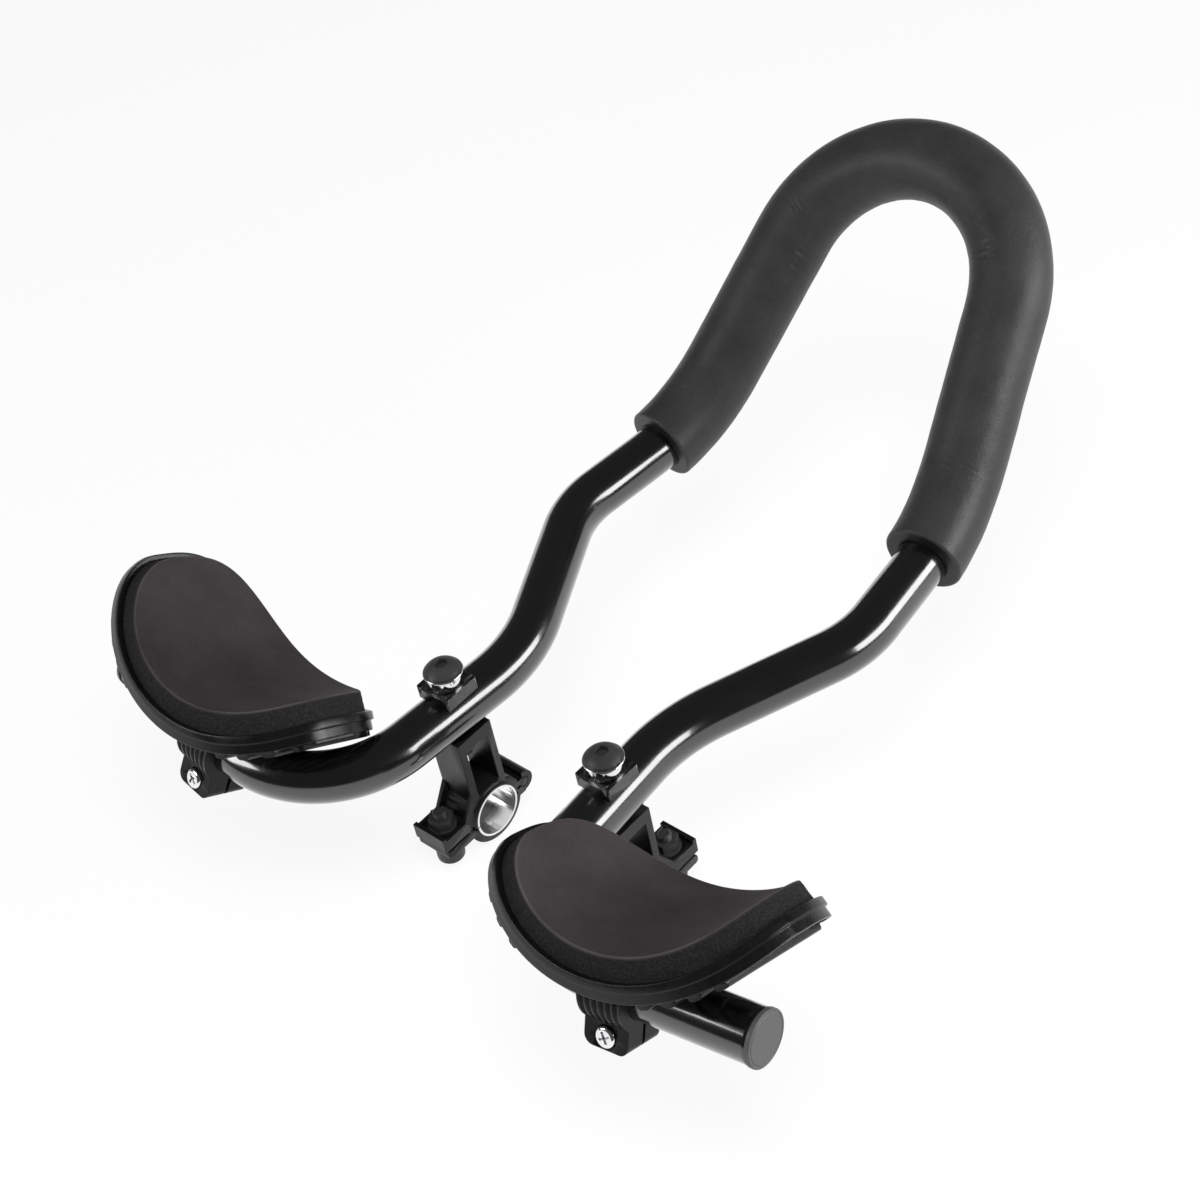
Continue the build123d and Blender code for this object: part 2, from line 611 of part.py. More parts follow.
def rear_jaw():
    """Jaw behind the bar, with upright fins and a recess for the screw's head."""
    body = jaw(-1)
    fin_r = jaw_outer_r + FIN_HEIGHT
    outer = Circle(fin_r) & yz_box(-fin_r, -lug_face, -jaw_outer_r, JAW_TOP)
    fin = outer + yz_box(-fin_r, -jaw_outer_r, 0, JAW_TONGUE_TOP)
    fin -= Circle(jaw_outer_r - JAW_WALL / 2)
    step = (JAW_WIDTH - FIN_THICKNESS) / (FIN_COUNT - 1)
    for k in range(FIN_COUNT):
        x0 = -JAW_WIDTH / 2 + k * step
        body += yz_slab(fin, x0, x0 + FIN_THICKNESS)
    recess = Cylinder(JAW_SCREW_HEAD_DIAMETER / 2 + BOLT_CLEARANCE, JAW_LUG_DEPTH)
    return body - Pos(0, -screw_seat - JAW_LUG_DEPTH / 2, -JAW_SCREW_DROP) * Rot(90, 0, 0) * recess


def front_jaw():
    """Jaw in front of the bar, with a hex pocket for the nut."""
    pocket = Plane((0, lug_face, -JAW_SCREW_DROP), z_dir=(0, -1, 0)) * RegularPolygon(
        (JAW_NUT_FLATS + BOLT_CLEARANCE) / 2, 6, major_radius=False
    )
    return jaw(1) - extrude(pocket, JAW_NUT_HEIGHT)


def jaw_screw():
    """Pan-head screw with a cross recess, through both lugs below the bar."""
    axis = Plane((0, -screw_seat, -JAW_SCREW_DROP), z_dir=(0, -1, 0))
    head = Pos(0, 0, JAW_SCREW_HEAD_HEIGHT / 2) * Cylinder(JAW_SCREW_HEAD_DIAMETER / 2, JAW_SCREW_HEAD_HEIGHT)
    head = fillet(head.edges().sort_by(Axis.Z)[-1:], JAW_SCREW_HEAD_EDGE)
    for turn in (0, 90):
        slot = Pos(0, 0, JAW_SCREW_HEAD_HEIGHT - CROSS_DEPTH / 2) * Rot(0, 0, turn)
        head -= slot * Box(CROSS_LENGTH, CROSS_WIDTH, CROSS_DEPTH)
    length = screw_seat + lug_face + JAW_SCREW_TAIL
    return axis * (head + Pos(0, 0, -length / 2) * Cylinder(JAW_SCREW_DIAMETER / 2, length))


def jaw_nut():
    start = Plane((0, lug_face, -JAW_SCREW_DROP), z_dir=(0, -1, 0))
    hexagon = RegularPolygon(JAW_NUT_FLATS / 2, 6, major_radius=False)
    return extrude(start * (hexagon - Circle(JAW_SCREW_DIAMETER / 2 + THREAD_CLEARANCE)), JAW_NUT_HEIGHT)


def place_arm_rest(shape, tilt):
    """From the arm rest's axes to its place on the bar's right end, tipped about the run."""
    across = (Vector(0, 0, 1) - end_run * end_run.Z).normalized()
    middle = sweep_bend.end + end_run * (ARM_BEND_GAP + JAW_WIDTH / 2)
    return Plane(origin=middle, x_dir=end_run, z_dir=across) * Rot(tilt, 0, 0) * shape


def write(name, shape):
    shape.label = name
    export_step(shape, f"parts/{name}.step")


def main():
    os.makedirs("parts", exist_ok=True)
    write("extension_bar", extension_bar())
    write("foam_grip", foam_grip())
    riser_parts = (riser_bracket, lower_clamp, bore_sleeve, clamp_bolt, clamp_washer, clamp_nut,
                   saddle_plate, saddle_washer, saddle_bolt, saddle_nut)
    arm_parts = {make.__name__: make() for make in (arm_cradle, arm_pad, rear_jaw, front_jaw, jaw_screw, jaw_nut)}
    tilts = {right: ARM_RIGHT_TILT_ANGLE, left: ARM_LEFT_TILT_ANGLE}
    cap = end_cap()
    for side, name in side_names.items():
        for make in riser_parts:
            write(f"{name}_{make.__name__}", make(side))
        placed = {"end_cap": cap}
        placed.update({label: place_arm_rest(shape, tilts[side]) for label, shape in arm_parts.items()})
        for label, shape in placed.items():
            write(f"{name}_{label}", shape if side == right else mirror(shape, about=Plane.YZ))


if __name__ == "__main__":
    main()
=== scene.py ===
"""Studio scene of an aero handlebar extension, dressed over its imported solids.

The bent bar, the foam grip, the arm pads, the cradles' rims and the turned hardware are surfaces worked
out with numpy. The other pieces are joined, smooth-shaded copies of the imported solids, or the solids
themselves, with finishes of their own.
Lengths are written in millimetres and become metres when a mesh is made.
"""
import logging
from dataclasses import dataclass, field
from enum import Enum
from typing import Optional, Sequence

import bmesh
import bpy
import numpy as np
from mathutils import Matrix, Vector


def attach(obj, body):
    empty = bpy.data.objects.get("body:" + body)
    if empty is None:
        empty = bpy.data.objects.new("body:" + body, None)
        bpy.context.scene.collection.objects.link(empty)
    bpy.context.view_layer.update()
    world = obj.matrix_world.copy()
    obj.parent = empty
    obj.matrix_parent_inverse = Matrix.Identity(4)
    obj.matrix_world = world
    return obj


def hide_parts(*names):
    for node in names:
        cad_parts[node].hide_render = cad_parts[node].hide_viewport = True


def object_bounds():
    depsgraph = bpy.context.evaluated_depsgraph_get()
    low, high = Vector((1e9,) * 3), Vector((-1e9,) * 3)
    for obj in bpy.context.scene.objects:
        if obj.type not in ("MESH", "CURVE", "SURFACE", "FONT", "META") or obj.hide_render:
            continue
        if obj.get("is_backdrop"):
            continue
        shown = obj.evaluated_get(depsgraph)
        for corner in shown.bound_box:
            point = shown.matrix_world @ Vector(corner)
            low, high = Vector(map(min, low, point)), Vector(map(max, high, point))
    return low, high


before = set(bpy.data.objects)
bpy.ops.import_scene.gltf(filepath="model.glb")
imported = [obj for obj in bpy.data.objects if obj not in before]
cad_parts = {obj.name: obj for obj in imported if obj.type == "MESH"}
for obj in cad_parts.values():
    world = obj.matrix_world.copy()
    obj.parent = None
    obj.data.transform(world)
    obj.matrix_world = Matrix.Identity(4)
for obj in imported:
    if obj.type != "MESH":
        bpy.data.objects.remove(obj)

Array = np.ndarray
Colour = tuple[float, float, float]
Piece = bpy.types.Object
Tree = bpy.types.NodeTree
Node = bpy.types.Node
Socket = bpy.types.NodeSocket

MM = 0.001
WELD_DISTANCE = 1e-7
SLIVER_LENGTH = 1e-8
TINY = 1e-6
ROUNDING = 1e-9
CRISP_ANGLE = 35.0
JOINED_CRISP_ANGLE = 32.0
TURNED_COLUMNS = 96
UPRIGHT = 0.9
PITCH_RANGE = (0.6, 1.7)
NODE_SPACING = 180
log = logging.getLogger("aero_extension")


class Side(Enum):
    """The two sides of the bar, as the sign of X."""

    RIGHT = 1
    LEFT = -1

    @property
    def word(self) -> str:
        """Start of this side's node names."""
        return self.name.lower()

    @property
    def arm_body(self) -> str:
        """Body that this side's arm rest moves with."""
        return f"{self.word}_arm_rest"


class Body(Enum):
    """Bodies that new pieces ride on, apart from the arm rests."""

    FRAME = "frame"


class Slot(Enum):
    """Material slots of the record."""

    BAR = "bar_paint"
    GRIP = "grip_foam"
    CAP = "cap_plastic"
    CASTING = "riser_casting"
    ALLOY = "bright_alloy"
    OXIDE = "black_bolt"
    STEEL = "plate_steel"
    CHROME = "chrome"
    MOULDING = "cradle_plastic"
    PAD = "pad_foam"


def unit(vectors: Array) -> Array:
    """Vectors scaled to length one along the last axis."""
    return vectors / np.linalg.norm(vectors, axis=-1, keepdims=True)


def waves(points: Array, pitch: float, seed: int, count: int = 28) -> Array:
    """Smooth seeded noise: the mean of cosine waves in random directions with about the given pitch.

    Args:
        points: Places in millimetres, any shape ending in the number of coordinates.
        pitch: Mean wavelength in millimetres.
        seed: Seed of the directions and phases.
        count: Number of waves.

    Returns:
        Values of about unit spread, one for each place.
    """
    rng = np.random.default_rng(seed)
    heading = unit(rng.normal(size=(count, points.shape[-1])))
    number = 2 * np.pi / (pitch * rng.uniform(*PITCH_RANGE, size=count))
    phase = rng.uniform(0, 2 * np.pi, size=count)
    turned = points @ (heading * number[:, None]).T + phase
    return np.cos(turned).sum(axis=-1) * np.sqrt(2 / count)


def smooth_step(low: float, high: float, values: Array) -> Array:
    """Zero below low, one above high, and the cubic 3t^2 - 2t^3 between them."""
    t = np.clip((values - low) / (high - low), 0, 1)
    return t * t * (3 - 2 * t)


def grid_object(
    name: str, points: Array, close_rows: bool = False, attributes: Optional[dict[str, Array]] = None
) -> Piece:
    """A mesh over a grid of points whose columns close on themselves.

    Each quad joins a point to its neighbours in the next row and the next column. Rows at a pole hold one
    point repeated, and the doubles are welded so that the pole is closed.

    Args:
        name: Name of the object and its mesh.
        points: Grid of places in millimetres, rows by columns by 3.
        close_rows: Whether the last row joins the first.
        attributes: Values for each grid point by name, kept on the mesh.

    Returns:
        The linked object, in metres, with smooth faces.
    """
    rows, columns = points.shape[:2]
    index = np.arange(rows * columns).reshape(rows, columns)
    below = np.roll(index, -1, axis=0) if close_rows else index[1:]
    here = index if close_rows else index[:-1]
    quads = np.stack([here, np.roll(here, -1, 1), np.roll(below, -1, 1), below], axis=-1).reshape(-1, 4)
    mesh = bpy.data.meshes.new(name)
    mesh.vertices.add(rows * columns)
    mesh.vertices.foreach_set("co", (points * MM).astype(np.float32).ravel())
    mesh.loops.add(quads.size)
    mesh.loops.foreach_set("vertex_index", quads.astype(np.int32).ravel())
    mesh.polygons.add(len(quads))
    mesh.polygons.foreach_set("loop_start", np.arange(0, quads.size, 4, dtype=np.int32))
    mesh.polygons.foreach_set("use_smooth", np.ones(len(quads), dtype=bool))
    mesh.update(calc_edges=True)
    for label, values in (attributes or {}).items():
        layer = mesh.attributes.new(label, "FLOAT", "POINT")
        layer.data.foreach_set("value", values.astype(np.float32).ravel())
    return weld(name, mesh)


def weld(name: str, mesh: bpy.types.Mesh) -> Piece:
    """An object of the mesh with its doubles merged and its faces turned outwards.

    Args:
        name: Name of the object.
        mesh: The mesh, in place.

    Returns:
        The linked object.
    """
    work = bmesh.new()
    work.from_mesh(mesh)
    bmesh.ops.remove_doubles(work, verts=work.verts, dist=WELD_DISTANCE)
    bmesh.ops.dissolve_degenerate(work, dist=SLIVER_LENGTH, edges=work.edges)
    bmesh.ops.recalc_face_normals(work, faces=work.faces)
    work.to_mesh(mesh)
    work.free()
    thing = bpy.data.objects.new(name, mesh)
    bpy.context.scene.collection.objects.link(thing)
    return thing


class BentPath:
    """A path of straight runs whose corners are rounded by tangent arcs.

    Along a run the place is start + s * heading. Round a bend it is
    centre + radius * (outward * cos(s / radius) + heading * sin(s / radius)).
    """

    def __init__(self, corners: Array, radii: Sequence[float]) -> None:
        """Works out the runs and bends.

        Args:
            corners: Corner places in millimetres, first and last being the path's ends.
            radii: Bend radius at each inner corner.
        """
        self.pieces: list[tuple[float, float, Array, Array, Array]] = []
        back = unit(corners[:-2] - corners[1:-1])
        onward = unit(corners[2:] - corners[1:-1])
        turn = np.pi - np.arccos(np.clip((back * onward).sum(-1), -1, 1))
        radius = np.asarray(radii, dtype=float)
        reach = radius * np.tan(turn / 2)
        enter = corners[1:-1] + back * reach[:, None]
        leave = corners[1:-1] + onward * reach[:, None]
        centre = corners[1:-1] + unit(back + onward) * (radius / np.cos(turn / 2))[:, None]
        self.bend_starts: list[float] = []
        self.bend_radii, self.bend_turns = radius, turn
        place, length = corners[0], 0.0
        for k, bend_turn in enumerate(turn):
            run = float(np.linalg.norm(enter[k] - place))
            self.pieces.append((length, run, place, -back[k], np.full(3, np.nan)))
            length += run
            self.bend_starts.append(length)
            self.pieces.append((length, bend_turn * radius[k], centre[k], -back[k], enter[k] - centre[k]))
            length += bend_turn * radius[k]
            place = leave[k]
        run = float(np.linalg.norm(corners[-1] - place))
        self.pieces.append((length, run, place, onward[-1], np.full(3, np.nan)))
        self.length = length + run

    def sample(self, s: Array) -> tuple[Array, Array]:
        """Places and headings at distances along the path.

        Args:
            s: Distances from the start, in millimetres.

        Returns:
            Places and unit headings, one row for each distance.
        """
        places, headings = np.zeros((len(s), 3)), np.zeros((len(s), 3))
        for start, run, origin, heading, out in self.pieces:
            on = (s >= start - ROUNDING) & (s <= start + run + ROUNDING)
            along = (s[on] - start)[:, None]
            if np.isnan(out[0]):
                places[on], headings[on] = origin + along * heading, heading
            else:
                radius = np.linalg.norm(out)
                angle = along / radius
                places[on] = origin + out * np.cos(angle) + heading * radius * np.sin(angle)
                headings[on] = heading * np.cos(angle) - out / radius * np.sin(angle)
        return places, headings

    def sleeve(self, s: Array, radius: Array, angles: Array, up: Array) -> Array:
        """A profile carried round the path: place(s) + radius * (across * cos(a) + normal * sin(a)).

        Args:
            s: Distance of each profile station.
            radius: Radius at each station, or at each station and angle.
            angles: Angles round the path.
            up: A direction that is never along the path, from which the normals are taken.

        Returns:
            Grid of places, stations by angles by 3.
        """
        places, headings = self.sample(s)
        normal = unit(up - headings * (headings @ up)[:, None])
        across = np.cross(headings, normal)
        radius = radius[:, None] if radius.ndim == 1 else radius
        turn = angles[None, :, None]
        spoke = across[:, None] * np.cos(turn) + normal[:, None] * np.sin(turn)
        return places[:, None] + spoke * radius[..., None]


def round_angles(count: int) -> Array:
    """Even angles round a full turn, without the last."""
    return np.arange(count) * 2 * np.pi / count


def quarter(count: int) -> Array:
    """Even angles over a quarter turn, both ends included."""
    return np.linspace(0, np.pi / 2, count)


def corner_arc(radius: float, count: int) -> tuple[Array, Array]:
    """What a rounded corner takes off its two sides: radius * (1 - sin t) and radius * (1 - cos t)."""
    t = quarter(count)
    return radius * (1 - np.sin(t)), radius * (1 - np.cos(t))


def hexagon(flats: float, angles: Array) -> Array:
    """Radius of a hexagon: half the flats over the cosine of the angle from the nearest flat."""
    sixth = np.pi / 3
    return flats / 2 / np.cos((angles + sixth / 2) % sixth - sixth / 2)


def profile_rows(rows: Sequence[tuple[object, object]], columns: int) -> tuple[Array, Array]:
    """Radius and height of a turned profile's rows, spread over the columns.

    Args:
        rows: Radius and height of each row, each a number or one value for each column.
        columns: Number of columns.

    Returns:
        Radii and heights, rows by columns.
    """
    spread = [[np.broadcast_to(value, columns) for value in row] for row in rows]
    radius, height = np.array(spread, dtype=float).transpose(1, 0, 2)
    return radius, height


class Graph:
    """A node tree that is written one node at a time."""

    def __init__(self, tree: Tree) -> None:
        """Takes the tree to write to."""
        self.tree = tree
        self.column = 0

    def add(self, kind: str, inputs: Optional[dict] = None, **settings: object) -> Node:
        """Adds a node.

        Args:
            kind: Blender's name for the node, without ShaderNode in front.
            inputs: Socket values or the sockets that feed them, by socket name or number.
            settings: Settings of the node itself.

        Returns:
            The node.
        """
        node = self.tree.nodes.new(kind if kind.startswith("Node") else f"ShaderNode{kind}")
        node.location = (self.column * NODE_SPACING, 0)
        self.column += 1
        for label, value in settings.items():
            setattr(node, label, value)
        for label, value in (inputs or {}).items():
            socket = node.inputs[label]
            if isinstance(value, Socket):
                self.tree.links.new(value, socket)
            else:
                socket.default_value = value
        return node

    def feed(self, value: Socket, node: Node, label: str) -> None:
        """Links a socket to a node's named input."""
        self.tree.links.new(value, node.inputs[label])

    def math(self, operation: str, *values: object) -> Socket:
        """A Math node's result for sockets or numbers."""
        return self.add("Math", dict(enumerate(values)), operation=operation).outputs[0]

    def remap(self, value: Socket, low: float, high: float, to_low: float, to_high: float) -> Socket:
        """Value carried from one range to another and held within it."""
        limits = {"From Min": low, "From Max": high, "To Min": to_low, "To Max": to_high}
        return self.add("MapRange", {"Value": value, **limits}).outputs["Result"]

    def mix(self, factor: object, first: object, second: object) -> Socket:
        """Two colours mixed.

        Args:
            factor: Share of the second colour, as a number or a socket.
            first: First colour, or the socket that feeds it.
            second: Second colour, or the socket that feeds it.

        Returns:
            The mixed colour's socket.
        """
        node = self.add("Mix", data_type="RGBA")
        for label, value in (("Factor_Float", factor), ("A_Color", first), ("B_Color", second)):
            socket = next(s for s in node.inputs if s.identifier == label)
            if isinstance(value, Socket):
                self.tree.links.new(value, socket)
            else:
                socket.default_value = value if label == "Factor_Float" else (*value, 1.0)
        return next(s for s in node.outputs if s.identifier == "Result_Color")


class EffectKind(Enum):
    """Surface effects that several finishes share, each one node group."""

    PEBBLE = "pebble_skin"
    MOTTLE = "soft_mottle"
    STREAKS = "brushed_streaks"
    SPECKS = "fine_specks"
    WRINKLES = "skin_wrinkles"


class Effects:
    """Builds each shared node group once and places it in materials."""

    def __init__(self) -> None:
        """Starts with no groups."""
        self.groups: dict[EffectKind, Tree] = {}

    def place(self, graph: Graph, kind: EffectKind, **values: object) -> Node:
        """Places a group in a material, fed by Object coordinates.

        Args:
            graph: The material's graph.
            kind: Which effect.
            values: Values for the group's named inputs.

        Returns:
            The group's node.
        """
        if kind not in self.groups:
            self.groups[kind] = getattr(self, kind.value)()
        where = graph.add("TexCoord").outputs["Object"]
        node = graph.add("Group", node_tree=self.groups[kind])
        graph.feed(where, node, "Vector")
        for label, value in values.items():
            node.inputs[label].default_value = value
        return node

    @staticmethod
    def blank(
        kind: EffectKind, inputs: dict[str, float], outputs: Sequence[str]
    ) -> tuple[Tree, Graph, Node, Node]:
        """An empty group with a Vector input.

        Args:
            kind: Which effect it is for.
            inputs: Float inputs and their usual values.
            outputs: Float outputs.

        Returns:
            The group, its graph, and its input and output nodes.
        """
        tree = bpy.data.node_groups.new(kind.value, "ShaderNodeTree")
        tree.interface.new_socket("Vector", in_out="INPUT", socket_type="NodeSocketVector")
        for label, value in inputs.items():
            socket = tree.interface.new_socket(label, in_out="INPUT", socket_type="NodeSocketFloat")
            socket.default_value = value
        for label in outputs:
            tree.interface.new_socket(label, in_out="OUTPUT", socket_type="NodeSocketFloat")
        graph = Graph(tree)
        return tree, graph, graph.add("NodeGroupInput"), graph.add("NodeGroupOutput")

    def pebble_skin(self) -> Tree:
        """Pebbles: a Voronoi cell's rounded distance, broken up by finer noise.

        Returns:
            The node group.
        """
        usual = {"Scale": 900.0, "Break": 0.5}
        tree, graph, enter, leave = self.blank(EffectKind.PEBBLE, usual, ["Height", "Cells"])
        where, scale = enter.outputs["Vector"], enter.outputs["Scale"]
        warp = graph.add("TexNoise", {"Vector": where, "Scale": 400.0, "Detail": 2.0})
        bend = graph.add("VectorMath", {0: warp.outputs["Color"], "Scale": 0.0006}, operation="SCALE")
        moved = graph.add("VectorMath", {0: where, 1: bend.outputs[0]}, operation="ADD")
        cells = graph.add("TexVoronoi", {"Vector": moved.outputs[0], "Scale": scale}, feature="SMOOTH_F1")
        finer = graph.math("MULTIPLY", scale, 1.7)
        grain = graph.add("TexNoise", {"Vector": where, "Scale": finer, "Detail": 3.0})
        dome = graph.math("SUBTRACT", 1.0, cells.outputs["Distance"])
        uneven = graph.math("SUBTRACT", grain.outputs["Fac"], 0.5)
        rough = graph.math("MULTIPLY", uneven, enter.outputs["Break"])
        graph.feed(graph.math("ADD", dome, rough), leave, "Height")
        graph.feed(cells.outputs["Distance"], leave, "Cells")
        return tree

    def soft_mottle(self) -> Tree:
        """Broad soft patches: noise with its middle stretched to cover zero to one.

        Returns:
            The node group.
        """
        tree, graph, enter, leave = self.blank(EffectKind.MOTTLE, {"Scale": 45.0, "Detail": 4.0}, ["Value"])
        given = {label: enter.outputs[label] for label in ("Vector", "Scale", "Detail")}
        noise = graph.add("TexNoise", {**given, "Roughness": 0.6})
        graph.feed(graph.remap(noise.outputs["Fac"], 0.3, 0.7, 0.0, 1.0), leave, "Value")
        return tree

    def brushed_streaks(self) -> Tree:
        """Streaks along X, or rings round it: noise read on coordinates squeezed along X or across it.

        Returns:
            The node group.
        """
        usual = {"Scale": 2500.0, "Along": 0.03, "Across": 1.0}
        tree, graph, enter, leave = self.blank(EffectKind.STREAKS, usual, ["Value"])
        parts = graph.add("SeparateXYZ", {0: enter.outputs["Vector"]})
        along = graph.math("MULTIPLY", parts.outputs[0], enter.outputs["Along"])
        across = [graph.math("MULTIPLY", parts.outputs[k], enter.outputs["Across"]) for k in (1, 2)]
        joined = graph.add("CombineXYZ", {0: along, 1: across[0], 2: across[1]})
        scale = enter.outputs["Scale"]
        noise = graph.add("TexNoise", {"Vector": joined.outputs[0], "Scale": scale, "Detail": 3.0})
        graph.feed(graph.remap(noise.outputs["Fac"], 0.25, 0.75, 0.0, 1.0), leave, "Value")
        return tree

    def fine_specks(self) -> Tree:
        """Small separate specks: Voronoi points kept within a radius, where a slower noise allows them.

        Returns:
            The node group.
        """
        tree, graph, enter, leave = self.blank(EffectKind.SPECKS, {"Scale": 420.0, "Size": 0.12}, ["Mask"])
        dots = graph.add("TexVoronoi", {"Vector": enter.outputs["Vector"], "Scale": enter.outputs["Scale"]})
        patch = graph.add("TexNoise", {"Vector": enter.outputs["Vector"], "Scale": 60.0, "Detail": 2.0})
        near = graph.math("LESS_THAN", dots.outputs["Distance"], enter.outputs["Size"])
        allowed = graph.remap(patch.outputs["Fac"], 0.5, 0.65, 0.0, 1.0)
        graph.feed(graph.math("MULTIPLY", near, allowed), leave, "Mask")
        return tree

    def skin_wrinkles(self) -> Tree:
        """Thin crossing lines: where noise passes through its middle value.

        Returns:
            The node group.
        """
        usual = {"Scale": 300.0, "Width": 0.05}
        tree, graph, enter, leave = self.blank(EffectKind.WRINKLES, usual, ["Lines"])
        given = {label: enter.outputs[label] for label in ("Vector", "Scale")}
        noise = graph.add("TexNoise", {**given, "Detail": 3.0, "Distortion": 0.6})
        away = graph.math("ABSOLUTE", graph.math("SUBTRACT", noise.outputs["Fac"], 0.5))
        line = graph.math("SUBTRACT", 1.0, graph.math("DIVIDE", away, enter.outputs["Width"]))
        graph.feed(graph.math("MAXIMUM", line, 0.0), leave, "Lines")
        return tree


EFFECTS = Effects()
MATERIALS: dict["Finish", bpy.types.Material] = {}


@dataclass(frozen=True)
class Finish:
    """A procedural finish; its subclasses say what varies over the surface."""

    name: str
    colour: Colour
    roughness: float
    metallic: float = 0.0
    specular: float = 0.5
    edge_radius: float = 0.0

    def material(self) -> bpy.types.Material:
        """The finish as a material, made on its first use.

        Returns:
            The material.
        """
        if self in MATERIALS:
            return MATERIALS[self]
        made = MATERIALS[self] = bpy.data.materials.new(f"dressed_{self.name}")
        made.use_nodes = True
        made.node_tree.nodes.clear()
        graph = Graph(made.node_tree)
        shader = graph.add(
            "BsdfPrincipled",
            {"Base Color": (*self.colour, 1.0), "Roughness": self.roughness, "Metallic": self.metallic,
             "Specular IOR Level": self.specular},
        )
        graph.add("OutputMaterial", {"Surface": shader.outputs[0]})
        self.dress(graph, shader)
        return made

    def dress(self, graph: Graph, shader: Node) -> None:
        """Adds what varies over the surface.

        Args:
            graph: The material's graph.
            shader: Its Principled shader.
        """

    def relief(self, graph: Graph, shader: Node, height: Socket, depth: float, strength: float) -> None:
        """Feeds the shader's normal from a height, over an edge rounding where the finish has one.

        Args:
            graph: The material's graph.
            shader: Its Principled shader.
            height: Height from zero to one.
            depth: Depth of the relief in millimetres.
            strength: Share of the relief that shows.
        """
        inputs = {"Height": height, "Distance": depth * MM, "Strength": strength}
        if self.edge_radius:
            inputs["Normal"] = graph.add("Bevel", {"Radius": self.edge_radius * MM}, samples=4).outputs[0]
        bump = graph.add("Bump", inputs)
        graph.feed(bump.outputs[0], shader, "Normal")


@dataclass(frozen=True)
class Enamel(Finish):
    """Glossy stoved paint with faint orange peel and a little haze."""

    coat: float = 0.5
    coat_roughness: float = 0.08
    haze_scale: float = 35.0
    peel: float = 0.012
    peel_scale: float = 420.0
    peel_share: float = 0.25
    gloss_range: tuple[float, float] = (0.8, 1.3)

    def dress(self, graph: Graph, shader: Node) -> None:
        """Mottled roughness, faint peel, and a clear coat.

        Args:
            graph: The material's graph.
            shader: Its Principled shader.
        """
        shader.inputs["Coat Weight"].default_value = self.coat
        shader.inputs["Coat Roughness"].default_value = self.coat_roughness
        haze = EFFECTS.place(graph, EffectKind.MOTTLE, Scale=self.haze_scale)
        glossy, dull = (self.roughness * share for share in self.gloss_range)
        rough = graph.remap(haze.outputs["Value"], 0, 1, glossy, dull)
        graph.feed(rough, shader, "Roughness")
        peel = EFFECTS.place(graph, EffectKind.MOTTLE, Scale=self.peel_scale, Detail=1.0)
        self.relief(graph, shader, peel.outputs["Value"], self.peel, self.peel_share)


@dataclass(frozen=True)
class FoamSkin(Finish):
    """Foam with a moulded skin: fine pebbles, soft patches and a dull sheen."""

    pale: Colour = (0.1, 0.1, 0.1)
    cut_face: Colour = (0.004, 0.004, 0.004)
    pebble: float = 1100.0
    depth: float = 0.1
    relief_share: float = 0.6
    patch_scale: float = 28.0
    patch_share: float = 0.7
    cell_share: float = 0.35
    cell_range: tuple[float, float] = (0.1, 0.8)
    wrinkle_scale: float = 260.0
    wrinkle_width: float = 0.06
    wrinkle_range: tuple[float, float] = (0.1, 1.1)
    gloss_spread: float = 0.06
    sheen: float = 0.03
    sheen_roughness: float = 0.5

    def dress(self, graph: Graph, shader: Node) -> None:
        """Two-tone patches, pebbled relief, wrinkles where the mesh's mask allows them, and dark cut ends.

        Args:
            graph: The material's graph.
            shader: Its Principled shader.
        """
        creased = graph.add("Attribute", attribute_name="wrinkle").outputs["Fac"]
        ends = graph.add("Attribute", attribute_name="cut").outputs["Fac"]
        patch = EFFECTS.place(graph, EffectKind.MOTTLE, Scale=self.patch_scale)
        skin = EFFECTS.place(graph, EffectKind.PEBBLE, Scale=self.pebble, Break=0.7)
        size = {"Scale": self.wrinkle_scale, "Width": self.wrinkle_width}
        lines = EFFECTS.place(graph, EffectKind.WRINKLES, **size)
        cells = graph.remap(skin.outputs["Cells"], *self.cell_range, 0.0, self.cell_share)
        tone = graph.math("MULTIPLY", patch.outputs["Value"], self.patch_share)
        body = graph.mix(graph.math("ADD", tone, cells), self.colour, self.pale)
        graph.feed(graph.mix(ends, body, self.cut_face), shader, "Base Color")
        glossy, dull = self.roughness - self.gloss_spread, self.roughness + self.gloss_spread
        rough = graph.remap(patch.outputs["Value"], 0, 1, glossy, dull)
        graph.feed(rough, shader, "Roughness")
        shader.inputs["Sheen Weight"].default_value = self.sheen
        shader.inputs["Sheen Roughness"].default_value = self.sheen_roughness
        shown = graph.remap(creased, 0, 1, *self.wrinkle_range)
        furrow = graph.math("MULTIPLY", lines.outputs["Lines"], shown)
        height = graph.math("SUBTRACT", skin.outputs["Height"], furrow)
        self.relief(graph, shader, height, self.depth, self.relief_share)


